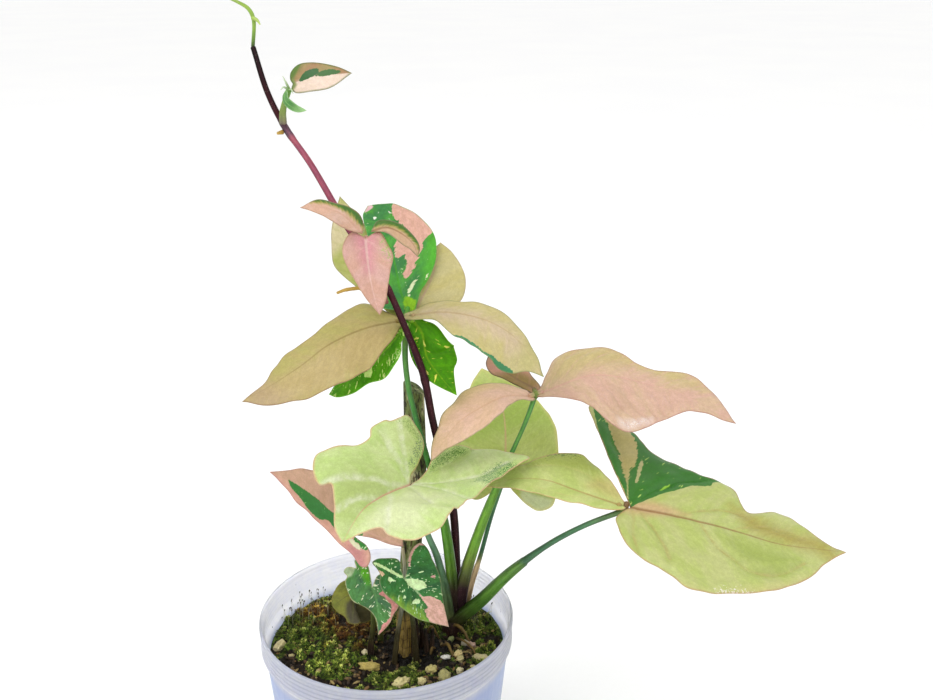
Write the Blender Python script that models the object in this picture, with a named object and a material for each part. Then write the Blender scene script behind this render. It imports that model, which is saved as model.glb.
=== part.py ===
"""An arrowhead plant in its clear nursery pot: pink, cream and green leaves on stalks from one crown,
a dark climbing stem and the stump of an older one. Lengths in the tables below are millimetres."""
import math
import random

import bmesh
import bpy
from mathutils import Vector, noise
from mathutils.geometry import delaunay_2d_cdt, interpolate_bezier

MM = 0.001
CLEARANCE = 0.35

# The pot: a turned shell with a ribbed rim
POT_HEIGHT = 108.0
RIM_RADIUS = 60.0
BODY_RADIUS = 57.8
BASE_RADIUS = 49.0
WALL = 1.2
FLOOR = 1.5
RIM_BAND = 13.0
RIM_RIBS = 5
RIB_DEPTH = 0.6
BAND_INSET = 0.3
FOOT_BEVEL = 1.5
POT_SIDES = 48
DRAIN_HOLES = 8
DRAIN_RADIUS = 4.0
DRAIN_CIRCLE = 36.0
DRAIN_SIDES = 12

# The soil: its mean level, its slope away from the viewer, and the mossy mounds on it
SOIL_LEVEL = 91.0
SOIL_SLOPE = -0.07
SOIL_RINGS = 9
CRUMB_HEIGHT = 0.9
CRUMB_SIZE = 7.0
MOUNDS = [((-22, 22), 20, 4.0), ((34, 20), 14, 2.5), ((-34, -8), 16, 2.0), ((8, -24), 14, -4.5)]

# The blades
BLADE_THICKNESS = 0.8
BLADE_CELL = 5.0
RIM_STEP = 4.0
EDGE_ROOM = 0.62
RIB_REACH = 0.02
WAVE_LAG = 1.5

# Bark and stone chips on the soil: place, half-lengths and turn in degrees
CHIPS = [
    ((-51, -5), (4.6, 3.0, 3.2), 70),
    ((-7, -20), (5.6, 2.6, 3.0), 10),
    ((8, -31), (4.6, 3.2, 3.0), 40),
    ((18, -31), (2.6, 2.2, 2.4), 0),
    ((22, -22), (3.0, 2.6, 2.6), 30),
    ((28, -29), (3.2, 4.4, 2.4), 15),
    ((34, -11), (3.0, 2.2, 2.4), 50),
    ((45, -14), (4.6, 2.2, 2.2), -20),
]
CHIP_ROUGHNESS = 0.16
CHIP_ROOM = 0.65

# Where the stems run, from the soil upwards, and how thick they are along that way
CROWN = dict(way=[(30, 9.5, 84), (31, 10.5, 96), (33.6, 12.6, 107)], radii=[5.0, 5.0, 4.8])
CLIMBING_STEM = dict(
    way=[(33.9, 14.4, 108.2), (33.2, 14, 122), (31.5, 12, 157), (26.1, 9, 186), (22.3, 7, 206),
         (18.6, 5, 228), (10.7, 4, 251), (3.7, 4, 268), (-4.9, 4, 283), (-12.2, 5, 294),
         (-27.2, 7, 321), (-36.8, 9, 335), (-43.7, 11, 349), (-49.1, 14, 367)],
    radii=[2.1, 2.0, 1.9, 1.8, 1.75, 1.7, 1.6, 1.5, 1.5, 1.45, 1.4, 1.3, 1.2, 1.1])
GROWING_TIP = dict(
    way=[(-49.3, 14.1, 367.9), (-48.4, 15, 378), (-50.2, 15, 382), (-54.5, 14, 384.8), (-60.5, 13, 387.2)],
    radii=[1.1, 1.2, 1.3, 1.1, 0.5])
STUMP = dict(
    way=[(8.2, -7, 78), (8.5, -5, 92), (9.8, -1.5, 116), (12.3, 4, 145), (14.6, 9, 177), (14.0, 13, 202),
         (13.6, 16.4, 222)],
    radii=[5.0, 4.9, 4.5, 4.8, 4.6, 4.8, 4.7])
STUMP_CUT = (0.45, -0.15, 1.0)
STUMP_CUT_DEPTH = 5.0
AERIAL_ROOT = dict(
    way=[(1.2, 2.5, 268.4), (-2.4, 0.5, 269), (-7.4, -1, 269.2), (-13.7, -2, 268.6), (-17, -3, 267.6)],
    radii=[0.7, 0.8, 0.8, 0.8, 0.6])
ROOT_BUD = dict(way=[(-38.0, 8.2, 333.6), (-40.6, 6.4, 333.2)], radii=[1.2, 0.7])

# The stalks that grow out of the crown, sheathed below, and end under their leaves
CROWN_STALKS = [
    dict(way=[(31, 9, 100), (31, 7, 120), (27.4, 5, 154), (20.4, 2.6, 186), (15.1, 4.4, 207),
              (12.2, 6, 220), (10.7, 8, 234), (11.2, 10.8, 251.6)],
         radii=[3.4, 3.0, 2.6, 1.9, 1.6, 1.5, 1.5, 1.7]),
    dict(way=[(34, 8.6, 104), (37.4, 8, 124), (44.3, 12, 146), (51.7, 14, 166), (58.6, 16, 183),
              (65, 18, 198), (69.8, 18.7, 212.4)],
         radii=[3.4, 3.2, 2.7, 2.3, 1.4, 1.2, 1.4]),
    dict(way=[(36, 11, 100), (41.5, 13.4, 116), (44.8, 18, 127), (50, 25, 146), (54.9, 28.9, 160.4)],
         radii=[2.8, 2.2, 1.3, 1.2, 1.2]),
    dict(way=[(32, 8, 98), (44.3, 2, 113), (58.6, -3, 132), (76.4, -8, 150), (91.6, -11, 161),
              (108.6, -12, 169)],
         radii=[3.6, 3.2, 2.6, 1.6, 1.4, 1.5]),
    dict(way=[(30, 8, 100), (27.2, 3, 122), (24.1, -1, 139), (20.6, -6, 152), (16.1, -11, 170),
              (13.4, -13.6, 181.6)],
         radii=[3.0, 2.4, 2.0, 1.7, 1.5, 1.4]),
]

# The top of each stalk with a divided leaf, and the lobes that short joints reach from there
LOBE_HUBS = [
    ((11.2, 10.8, 251.2), ["leaf3_left", "leaf3_lower_left", "leaf3_lower_right", "leaf3_right",
                           "leaf3_back_right", "leaf3_top", "leaf3_back_left"]),
    ((69.8, 18.7, 212.2), ["leaf4_right", "leaf4_left", "leaf4_back"]),
    ((108.4, -12, 169), ["leaf6_left_lobe"]),
]
JOINT_RADII = (1.5, 1.0)
JOINT_GAP = 0.6

# Stalks that stand alone in the soil or sit on the climbing stem
LONE_STALKS = {
    "leaf1_stalk": dict(way=[(-37.4, 7.0, 337.5), (-37.2, 6.6, 342), (-35.8, 7, 347), (-34.3, 7.8, 350.8)],
                        radii=[1.3, 1.2, 1.2, 1.2]),
    "leaf2_stalk": dict(way=[(3.4, 1.2, 262), (1.2, -0.4, 273), (-2.3, -1, 284), (-4.0, -3.2, 292.2)],
                        radii=[1.3, 1.1, 1.1, 1.1]),
    "leaf8_stalk": dict(way=[(3.4, -14.4, 82), (5.2, -11.8, 100), (8, -8.8, 118), (9.2, -5.6, 136),
                             (8.4, -3.4, 144.6)],
                        radii=[1.6, 1.4, 1.1, 0.9, 0.9]),
    "leaf9_stalk": dict(way=[(15, -14.6, 82), (14.2, -14.4, 96), (12.9, -14.6, 114), (11.2, -14.6, 126),
                             (10.3, -16.2, 135.6)],
                        radii=[1.8, 1.7, 1.4, 1.2, 1.1]),
    "leaf10_stalk": dict(way=[(-7.6, -9.6, 82), (-7.2, -10, 96), (-5.8, -11, 108), (-5.4, -12.6, 120),
                              (-4.9, -15.2, 130.4)],
                         radii=[1.8, 1.7, 1.3, 1.2, 1.1]),
    "leaf11_stalk": dict(way=[(-3.4, 3, 80), (-3.6, 2.6, 92), (-4.2, 2, 102), (-7.2, 0.8, 113.6)],
                         radii=[1.6, 1.5, 1.2, 1.1]),
}

# Each blade: its midrib from base to tip, the way its upper face looks, and its flat outline on
# either side as (along the midrib, out from it), from the base to the tip. A fold lifts a half in
# degrees at the base, and at the tip where fold_tip says so, an ear's lift is in mm at 30 mm behind
# the base, and waves are (height, length).
BLADES = {
    "leaf1_blade": dict(
        rib=[(-33, 9, 353), (-26, 7, 356), (-17, 5, 357), (-8, 2, 358)], face=(0, -0.8, 0.6), colour="pink",

        left=[(-0.8, 2.4), (0, 5.4), (4, 7), (8, 6.6), (15, 5), (21, 3)],
        right=[(-0.8, 2), (0.5, 4.4), (4, 6), (13, 7), (20, 5)]),
    "leaf1_side_lobe": dict(
        rib=[(-35.4, 5.4, 351), (-35.6, 4, 347), (-32, 3.4, 344), (-27, 3.4, 343)], face=(-0.7, -0.6, 0.3),
        colour="green", left=[(1, 2), (4, 4), (8, 3), (12, 1.5)], right=[(2, 2), (5, 2.5), (9, 2.5),
                                                                         (12, 2)]),
    "leaf2_middle": dict(
        rib=[(-4, -5, 292), (-3, -9, 283), (-1, -13, 272), (2, -16, 262)], face=(0, -0.85, 0.5),
        colour="pink",
        fold=(10, 10), left=[(-2, 6), (3, 9), (9, 11), (15, 9), (21, 7), (28, 4)],
        right=[(-3, 5), (1, 9), (6, 10), (13, 8), (18, 6), (26, 3)]),
    "leaf2_left": dict(
        rib=[(-5.1, -5.3, 293.9), (-12, -8, 302), (-19, -11, 306), (-29, -14, 307)], face=(-0.2, -0.6, 0.75),
        colour="pink", left=[(7, 4), (16, 6), (22, 4)], right=[(2, 3), (6, 5), (10, 5), (16, 4), (23, 4)]),
    "leaf2_right": dict(
        rib=[(-1.7, -5.5, 294.9), (5, -7, 297), (11, -9, 295), (16, -11, 291), (18, -13, 286)],
        face=(0.2, -0.6, 0.75), colour="pink", left=[(3, 4), (7, 4), (12, 4), (17, 3), (23, 2)],
        right=[(4, 1.5), (9, 3), (18, 4), (23, 2)]),
    "leaf3_left": dict(
        rib=[(7, 9, 251), (-5, 4, 250), (-21, -4, 245), (-32, -10, 238), (-44, -15, 231), (-57, -20, 225)],
        face=(0, -0.45, 0.9), colour="beige", fold=(-6, -6), wave=(0.8, 26),
        left=[(5, 10), (14, 16), (25, 21), (36, 21), (44, 17), (52, 16), (60, 12), (69, 7)],
        right=[(4, 10), (9, 17), (15, 16), (27, 12), (37, 10), (48, 11), (57, 8), (65, 3)]),
    "leaf3_lower_left": dict(
        rib=[(9, 7, 247), (2, 5, 239), (-10, 2, 229), (-23, 0, 220)], face=(-0.3, -0.6, 0.7),
        colour="green",
        left=[(3, 4), (6, 7), (13, 10), (19, 11), (25, 8), (33, 7), (40, 4)],
        right=[(9, 6), (20, 8), (32, 5)]),
    "leaf3_lower_right": dict(
        rib=[(14.4, 11, 250.4), (18, 10.4, 245.4), (20.2, 10, 234), (26, 8, 225.6), (33.6, 4, 217.8)],
        face=(-0.1, -0.7, 0.65), colour="green",
        left=[(3, 4), (6, 7), (10, 10), (15, 13), (27, 11), (30, 7), (34, 4)],
        right=[(7, 2.4), (12, 4), (18, 5), (26, 5), (33, 3)]),
    "leaf3_right": dict(
        rib=[(15, 9, 254), (28, 7, 256), (46, 2, 254), (59, -5, 248),
             (71, -12, 233)], face=(0.1, -0.45, 0.9),
        colour="beige", fold=(-6, -4), wave=(0.7, 24),
        left=[(7, 7), (13, 8), (20, 9), (27, 10), (36, 9), (46, 6), (53, 4), (60, 3)],
        right=[(8, 4), (19, 12), (23, 14), (39, 16), (48, 17), (55, 16), (60, 12), (63, 5)]),
    "leaf3_back_right": dict(
        rib=[(15, 15, 254), (22, 26, 265), (26, 42, 278)], face=(0.1, -0.6, 0.8), colour="beige",
        left=[(16, 6), (29, 5)], right=[(5, 6), (12, 16), (21, 15), (28, 11), (34, 6)]),
    "leaf3_top": dict(
        rib=[(12, 14, 256), (9, 18, 261), (5, 30, 274), (0, 41, 284), (-8, 52, 293)], face=(0, -0.6, 0.8),
        colour="green", left=[(4, 5), (9, 9), (16, 9), (29, 11), (42, 11), (53, 7)],
        right=[(4, 8), (16, 16), (25, 20), (32, 21), (42, 18), (48, 14), (53, 10)]),
    "leaf3_back_left": dict(
        rib=[(8, 15, 253), (-5, 30, 266), (-15, 44, 281), (-21, 55, 297)], face=(-0.1, -0.6, 0.8),
        colour="olive",
        left=[(12, 6), (22, 9), (28, 11), (36, 13), (46, 10), (54, 7)], right=[(13, 5), (26, 7), (39, 8),
                                                                               (51, 7)]),
    "leaf4_right": dict(
        rib=[(73, 18, 214), (96, 16, 223), (120, 12, 220), (136, 8, 216),
             (158, 0, 206)], face=(0, -0.4, 0.92),
        colour="salmon", fold=(-4, -4), wave=(1.0, 30),
        left=[(3, 10), (9, 18), (20, 20), (31, 19), (38, 15), (46, 11), (56, 12), (65, 15), (71, 13),
              (78, 10),
              (85, 5)],
        right=[(4, 5), (9, 8), (18, 15), (25, 21), (32, 26), (40, 29), (48, 28), (54, 24), (62, 17),
               (70, 8),
               (77, 4), (86, 2)]),
    "leaf4_left": dict(
        rib=[(66.5, 17.5, 212), (55, 12, 214), (44, 6, 211), (33, 0, 205),
             (22, -6, 190)], face=(-0.1, -0.4, 0.9),
        colour="salmon", wave=(0.5, 22), left=[(5, 3), (13, 6), (21, 9), (32, 11), (44, 8), (52, 3)],
        right=[(4, 6), (9, 9), (19, 12), (27, 13), (33, 11), (41, 9), (46, 6), (52, 5)]),
    "leaf4_back": dict(
        rib=[(69, 22, 214), (58, 32, 217), (48, 45, 221)], face=(0, -0.4, 0.9), colour="tan",
        left=[(14, 4), (21, 6), (28, 4)], right=[(6, 6), (15, 10), (26, 9)]),
    "leaf5_blade": dict(
        rib=[(56, 30.6, 164), (57, 40, 171), (57, 62, 182), (54, 78, 189),
             (46, 95, 196)], face=(0, -0.44, 0.9),
        colour="lime", wave=(0.8, 28),
        left=[(-8, 5), (-13, 12), (-11, 17), (-2, 22), (12, 25), (29, 24), (50, 20), (66, 10)],
        right=[(-7, 5), (-14, 13), (-16, 18), (-13, 24), (-5, 26), (6, 26), (19, 26), (30, 25), (43, 20),
               (54, 12),
               (65, 5)]),
    "leaf6_blade": dict(
        rib=[(111, -12, 171), (133, -18, 169), (154, -22, 165), (175, -26, 160), (203, -30, 158)],
        face=(0, -0.35, 0.93), colour="lime", fold=(-4, -4), wave=(1.2, 34),
        left=[(-11, 21), (-21, 41), (-27, 53), (-31, 63), (-20, 58), (-6, 50), (5, 37), (25, 31), (39, 28),
              (45, 25), (51, 14), (65, 19), (74, 16), (87, 4)],
        right=[(-5, 8), (-3, 13), (2, 21), (11, 27), (21, 31), (29, 36), (38, 36), (53, 31), (65, 25),
               (79, 15),
               (86, 7)]),
    "leaf6_left_lobe": dict(
        rib=[(105.5, -11.6, 172), (86, -5, 176), (74, 0, 178), (60, 3, 177),
             (46, 5, 172)], face=(0, -0.35, 0.93),
        colour="lime", wave=(0.6, 24), left=[(5, 6), (15, 7), (25, 9), (37, 9), (52, 5)],
        right=[(3, 8), (8, 13), (16, 18), (27, 21), (32, 19), (37, 15), (45, 9), (54, 6)]),
    "leaf7_blade": dict(
        rib=[(13, -14, 183), (-1, -32, 186), (-6, -46, 187), (-12, -66, 183)], face=(0, -0.05, 1),
        colour="lime",
        fold=(8, 72), fold_tip=(8, 30), lift=(3, 3), wave=(0.8, 24),
        left=[(-8, -1), (-13, -3.4), (-17, -7.2), (-21, -8.2), (-28, -8), (-34, -6.8), (-41, -3.4),
              (-46, 3), (-47, 15), (-42, 32), (-33, 27), (-18, 29), (-3, 33),
              (14, 37), (43, 38), (51, 34), (54, 29), (52, 18), (48, 13), (52, 6)],
        right=[(-1, 3), (-8, 8), (-13, 15), (-8, 26), (-4, 30), (6, 30), (13, 29), (15, 25), (21, 24),
               (26, 26),
               (32, 29), (36, 30), (40, 26), (42, 20), (39, 17), (44, 11), (54, 5)]),
    "leaf8_blade": dict(
        rib=[(9, -4, 146), (-7, -4, 153), (-22, -7, 161), (-35, -12, 177), (-48, -16, 190)],
        face=(-0.1, -0.5, 0.85), colour="salmon", wave=(0.6, 24),

        left=[(5, 1.5), (12, 1.6), (18, 2.4), (24, 3.6), (21, 5), (17, 6.5), (14, 9.5), (13, 13), (14, 16.4),
              (17, 17), (20, 15.5), (25, 12.6), (30, 10), (36, 6.5), (48, 5), (57, 5), (66, 2)],
        right=[(3, 5), (14, 16), (23, 22), (33, 22), (43, 20), (56, 13), (62, 10), (68, 5)]),
    "leaf9_blade": dict(
        rib=[(10, -17, 137), (16, -21, 132), (23, -24, 125), (30, -27, 118)], face=(0.1, -0.6, 0.8),
        colour="green", fold=(8, 8),
        left=[(-3, 4), (-6, 7.5), (-8, 13), (-7, 16.4), (-3, 16.8), (2, 15), (6, 14), (11, 12), (16, 8.5),
              (21, 5), (26, 2)],
        right=[(-4, -1.4), (-6, -3), (-9, -3.3), (-13, 0.8), (-15, 4), (-15, 6.6), (-11, 7), (-8, 8),
               (-6, 10.5), (-2, 12), (5, 11.5), (12, 10), (17, 8.5), (23, 4.6)]),
    "leaf10_blade": dict(
        rib=[(-5, -16.4, 132), (-3, -19, 127), (-2, -22, 120), (-2, -26, 113)], face=(-0.1, -0.65, 0.75),
        colour="green", fold=(6, 6),
        left=[(-4, 4), (-4, 7), (-1, 9), (4, 10.5), (10, 9.5), (13, 7), (16, 5.5), (19, 3)],
        right=[(-5, -1), (-10, -1.4), (-14, 1), (-14, 3.5), (-10.6, 4), (-11.8, 5.6), (-12.4, 8), (-11, 9.8),
               (-8.6, 9), (-7, 10.5), (-2, 11), (2, 10.5), (6, 8), (12, 2.6), (16, 1)]),
    "leaf11_blade": dict(
        rib=[(-8, 0, 115), (-16, -2, 119), (-25, -6, 115)], face=(-0.2, -0.6, 0.8), colour="olive",

        left=[(-4, 6), (-3, 9), (1, 12), (8, 14.5), (15, 15), (18, 12), (18, 8), (19.4, 4)],
        right=[(4, 5), (10, 8), (15, 6), (18.5, 3.4)]),
}

# Base colour, roughness and transmission of each material
FINISHES = {
    "pot_plastic": ((0.80, 0.84, 0.92), 0.35, 0.6),
    "soil": ((0.09, 0.10, 0.03), 0.95, 0.0),
    "chip": ((0.55, 0.46, 0.26), 0.9, 0.0),
    "old_wood": ((0.13, 0.12, 0.03), 0.8, 0.0),
    "dark_stem": ((0.05, 0.01, 0.015), 0.4, 0.0),
    "stalk_green": ((0.08, 0.22, 0.02), 0.45, 0.0),
    "root_brown": ((0.33, 0.25, 0.08), 0.8, 0.0),
    "pink": ((0.76, 0.45, 0.40), 0.45, 0.0),
    "salmon": ((0.71, 0.44, 0.31), 0.45, 0.0),
    "tan": ((0.50, 0.33, 0.18), 0.45, 0.0),
    "beige": ((0.60, 0.51, 0.25), 0.45, 0.0),
    "olive": ((0.40, 0.42, 0.14), 0.45, 0.0),
    "lime": ((0.50, 0.66, 0.22), 0.45, 0.0),
    "green": ((0.05, 0.24, 0.02), 0.4, 0.0),
}


def clear_scene():
    for thing in list(bpy.data.objects):
        bpy.data.objects.remove(thing, do_unlink=True)


def finish(name):
    """The Principled material of that name, made once."""
    if name in bpy.data.materials:
        return bpy.data.materials[name]
    colour, roughness, transmission = FINISHES[name]
    material = bpy.data.materials.new(name)
    material.use_nodes = True
    shader = material.node_tree.nodes["Principled BSDF"]
    shader.inputs["Base Color"].default_value = (*colour, 1)
    shader.inputs["Roughness"].default_value = roughness
    shader.inputs["Metallic"].default_value = 0
    shader.inputs["Transmission Weight"].default_value = transmission
    return material


def add_object(name, vertices, faces, material):
    """An object from vertices in millimetres."""
    mesh = bpy.data.meshes.new(name)
    mesh.from_pydata([Vector(v) * MM for v in vertices], [], faces)
    mesh.materials.append(finish(material))
    thing = bpy.data.objects.new(name, mesh)
    bpy.context.scene.collection.objects.link(thing)
    return thing


def shade_round(thing, degrees=40):
    thing.data.shade_smooth()
    thing.data.set_sharp_from_angle(angle=math.radians(degrees))


def spline(points, step):
    """Points about a step apart on the smooth curve through the given ones."""
    ways = [Vector(p).to_3d() for p in points]
    ways = [2 * ways[0] - ways[1], *ways, 2 * ways[-1] - ways[-2]]
    line = []
    for p0, p1, p2, p3 in zip(ways, ways[1:], ways[2:], ways[3:]):
        d0, d1, d2 = (math.sqrt((b - a).length) for a, b in ((p0, p1), (p1, p2), (p2, p3)))
        out_of = (p1 - p0) / d0 - (p2 - p0) / (d0 + d1) + (p2 - p1) / d1
        into = (p2 - p1) / d1 - (p3 - p1) / (d1 + d2) + (p3 - p2) / d2
        count = max(1, round((p2 - p1).length / step))
        line += interpolate_bezier(p1, p1 + out_of * d1 / 3, p2 - into * d1 / 3, p2, count + 1)[:-1]
    return [*line, ways[-2]]


class Rib:
    """A midrib: places on its smooth line by distance from the base, with the blade's directions there."""

    def __init__(self, points, face):
        self.line = spline(points, 1.0)
        self.face = Vector(face)
        self.along = [0.0]
        for a, b in zip(self.line, self.line[1:]):
            self.along.append(self.along[-1] + (b - a).length)
        self.length = self.along[-1]

    def place(self, distance):
        distance = min(max(distance, 0.0), self.length)
        k = min(sum(a < distance for a in self.along), len(self.line) - 1)
        k = max(k, 1)
        share = (distance - self.along[k - 1]) / (self.along[k] - self.along[k - 1])
        return self.line[k - 1].lerp(self.line[k], share)

    def axes(self, distance):
        reach = RIB_REACH * self.length
        distance = min(max(distance, reach), self.length - reach)
        ahead = (self.place(distance + reach) - self.place(distance - reach)).normalized()
        side = ahead.cross(self.face).normalized()
        return ahead, side, side.cross(ahead)


def bend(rib, blade, along, out):
    """The place in space of a point of the flat blade."""
    ahead, side, up = rib.axes(along)
    root = rib.place(along) + ahead * (along - min(max(along, 0.0), rib.length))
    half = 1 if out > 0 else 0
    fold, fold_tip = blade.get("fold", (0, 0))[half], blade.get("fold_tip", blade.get("fold", (0, 0)))[half]
    fold = math.radians(fold + (fold_tip - fold) * min(max(along / rib.length, 0), 1))
    raised = abs(out) * math.sin(fold)
    if along < 0:
        raised += blade.get("lift", (0, 0))[half] * (along / 30) ** 2
    height, length = blade.get("wave", (0, 1))
    widest = max(w for _, w in blade["left"] + blade["right"])
    raised += height * (out / widest) ** 2 * math.sin(2 * math.pi * along / length + half * WAVE_LAG)
    return root + side * (out * math.cos(fold)) + up * raised


def outline(blade, length, step):
    """The flat blade's edge, from its base round its right side to the tip and back on the left."""
    ends = [(0, 0)], [(length, 0)]
    right = spline(ends[0] + blade["right"] + ends[1], step)
    left = spline(ends[0] + [(a, -o) for a, o in blade["left"]] + ends[1], step)
    return [p.to_2d() for p in right + left[-2:0:-1]], len(right) - 1


def inside(point, ring):
    crossings = 0
    for a, b in zip(ring, ring[1:] + ring[:1]):
        if (a.y > point.y) != (b.y > point.y):
            crossings += point.x < a.x + (b.x - a.x) * (point.y - a.y) / (b.y - a.y)
    return crossings % 2 == 1


def flat_blade(blade, length, cell, step):
    """Points and triangles of the flat blade: its edge, its midrib and a staggered grid between."""
    ring, tip = outline(blade, length, step)
    points = list(ring)
    rib_count = round(length / cell)
    rib_points = [Vector((length * k / rib_count, 0)) for k in range(1, rib_count)]
    chain = [0, *range(len(points), len(points) + len(rib_points)), tip]
    points += rib_points
    low = Vector((min(p.x for p in ring), min(p.y for p in ring)))
    high = Vector((max(p.x for p in ring), max(p.y for p in ring)))
    height = cell * math.sin(math.radians(60))
    for row in range(math.ceil((high.y - low.y) / height)):
        for column in range(math.ceil((high.x - low.x) / cell)):
            spot = low + Vector(((column + 0.5 * (row % 2)) * cell, (row + 0.5) * height))
            near = min((spot - p).length for p in ring + rib_points)
            if near > EDGE_ROOM * cell and inside(spot, ring):
                points.append(spot)
    edges = list(zip(chain, chain[1:]))
    flat, _, triangles, *_ = delaunay_2d_cdt(points, edges, [list(range(len(ring)))], 1, 0.001)
    return flat, triangles


def make_blade(name, blade):
    rib = Rib(blade["rib"], blade["face"])
    flat, triangles = flat_blade(blade, rib.length, min(BLADE_CELL, rib.length / 5),
                                 min(RIM_STEP, rib.length / 7))
    thing = add_object(name, [bend(rib, blade, p.x, p.y) for p in flat], triangles, blade["colour"])
    shell = thing.modifiers.new("thickness", "SOLIDIFY")
    shell.thickness = BLADE_THICKNESS * MM
    shell.offset = 0
    shade_round(thing, 60)


def tube(name, way, radii, material, sides=8, step=6.0, spread=0.0):
    """A capped tube along a smooth way, with the radii spaced evenly along it."""
    line = spline(way, step)
    across = (line[1] - line[0]).orthogonal().normalized()
    vertices = []
    for k, spot in enumerate(line):
        ahead = (line[min(k + 1, len(line) - 1)] - line[max(k - 1, 0)]).normalized()
        across = (across - ahead * across.dot(ahead)).normalized()
        other = ahead.cross(across)
        place = k / (len(line) - 1) * (len(radii) - 1)
        low = min(int(place), len(radii) - 2)
        radius = radii[low] + (radii[low + 1] - radii[low]) * (place - low) + spread
        for i in range(sides):
            turn = 2 * math.pi * i / sides
            vertices.append(spot + (across * math.cos(turn) + other * math.sin(turn)) * radius)
    faces = [tuple(reversed(range(sides))), tuple(range(len(vertices) - sides, len(vertices)))]
    for k in range(len(line) - 1):
        for i in range(sides):
            a, b = k * sides + i, k * sides + (i + 1) % sides
            faces.append((a, b, b + sides, a + sides))
    thing = add_object(name, vertices, faces, material)
    shade_round(thing)
    return thing


def combine(target, others, operation):
    """Apply one Boolean of the target with all the others, which are then removed."""
    group = bpy.data.collections.new("operands")
    for other in others:
        group.objects.link(other)
    cut = target.modifiers.new("combine", "BOOLEAN")
    cut.operation = operation
    cut.operand_type = "COLLECTION"
    cut.collection = group
    bpy.context.view_layer.update()
    result = bpy.data.meshes.new_from_object(target.evaluated_get(bpy.context.evaluated_depsgraph_get()))
    target.modifiers.clear()
    target.data = result
    for other in others:
        bpy.data.objects.remove(other, do_unlink=True)
    bpy.data.collections.remove(group)


def pot_profile():
    """The shell's outline from the axis under the floor, up the outside and down the inside."""
    band_foot = POT_HEIGHT - RIM_BAND
    band = RIM_RADIUS - BAND_INSET
    lip = 2.2
    profile = [(0, 0), (BASE_RADIUS - FOOT_BEVEL, 0), (BASE_RADIUS, FOOT_BEVEL),
               (BODY_RADIUS, band_foot - 1.5)]
    pitch = (RIM_BAND - lip) / RIM_RIBS
    for k in range(RIM_RIBS):
        profile.append((band - RIB_DEPTH, band_foot + k * pitch))
        profile.append((band, band_foot + (k + 0.5) * pitch))
    profile += [(RIM_RADIUS, POT_HEIGHT - lip + 0.2), (RIM_RADIUS, POT_HEIGHT - 0.4),
                (RIM_RADIUS - 0.5, POT_HEIGHT)]
    profile += [(RIM_RADIUS - WALL, POT_HEIGHT), (band - RIB_DEPTH - WALL, POT_HEIGHT - lip)]
    profile += [(BODY_RADIUS - WALL + 0.4, band_foot), (BODY_RADIUS - WALL, band_foot - 2)]
    return profile + [(BASE_RADIUS - WALL, 2 * FLOOR), (BASE_RADIUS - WALL - 1.3, FLOOR), (0, FLOOR)]


def make_pot():
    shape = bmesh.new()
    verts = [shape.verts.new((r * MM, 0, z * MM)) for r, z in pot_profile()]
    edges = [shape.edges.new(pair) for pair in zip(verts, verts[1:])]
    bmesh.ops.spin(shape, geom=verts + edges, axis=(0, 0, 1), cent=(0, 0, 0), angle=2 * math.pi,
                   steps=POT_SIDES, use_merge=True)
    bmesh.ops.remove_doubles(shape, verts=shape.verts, dist=1e-6)
    bmesh.ops.recalc_face_normals(shape, faces=shape.faces)
    pot = add_object("pot", [], [], "pot_plastic")
    shape.to_mesh(pot.data)
    shape.free()
    holes = []
    for k in range(DRAIN_HOLES):
        turn = 2 * math.pi * (k + 0.5) / DRAIN_HOLES
        spot = Vector((DRAIN_CIRCLE * math.cos(turn), DRAIN_CIRCLE * math.sin(turn), 0))
        holes.append(tube("hole", [spot - Vector((0, 0, 3)), spot + Vector((0, 0, 4))], [DRAIN_RADIUS] * 2,
                          "pot_plastic", DRAIN_SIDES))
    combine(pot, holes, "DIFFERENCE")
    shade_round(pot)


def soil_height(x, y):
    """How high the potting mix lies: nearly level, mounded with moss, and crumbly."""
    height = SOIL_LEVEL + SOIL_SLOPE * y
    for (cx, cy), spread, rise in MOUNDS:
        height += rise * math.exp(-((x - cx) ** 2 + (y - cy) ** 2) / spread ** 2)
    return height + CRUMB_HEIGHT * noise.noise(Vector((x, y, 0)) / CRUMB_SIZE)


def inner_radius(z):
    """The pot's clear radius at a height below its rim band."""
    share = (z - 2 * FLOOR) / (POT_HEIGHT - RIM_BAND - 2 - 2 * FLOOR)
    return BASE_RADIUS - WALL + (BODY_RADIUS - BASE_RADIUS) * share - CLEARANCE


def make_soil():
    """The mix fills the pot; every ring of its top has as many points as the pot has sides."""
    turns = [2 * math.pi * k / POT_SIDES for k in range(POT_SIDES)]
    vertices = [(0, 0, soil_height(0, 0))]
    for ring in range(1, SOIL_RINGS + 1):
        for turn in turns:
            reach = inner_radius(SOIL_LEVEL - 4) * ring / SOIL_RINGS
            x, y = reach * math.cos(turn), reach * math.sin(turn)
            vertices.append((x, y, min(soil_height(x, y), POT_HEIGHT - RIM_BAND - 1)))
    floor = FLOOR + CLEARANCE
    for reach, z in [(inner_radius(2 * FLOOR + 0.4), 2 * FLOOR + 0.4), (BASE_RADIUS - 3.1, floor)]:
        vertices += [(reach * math.cos(turn), reach * math.sin(turn), z) for turn in turns]
    vertices.append((0, 0, floor))
    last = len(vertices) - 1
    faces = []
    for k in range(POT_SIDES):
        n = (k + 1) % POT_SIDES
        faces.append((0, 1 + k, 1 + n))
        for ring in range(SOIL_RINGS + 1):
            a, b = 1 + ring * POT_SIDES + k, 1 + ring * POT_SIDES + n
            faces += [(a, a + POT_SIDES, b + POT_SIDES), (a, b + POT_SIDES, b)]
        bottom = 1 + (SOIL_RINGS + 1) * POT_SIDES
        faces.append((last, bottom + n, bottom + k))
    return add_object("soil", vertices, faces, "soil")


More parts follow.
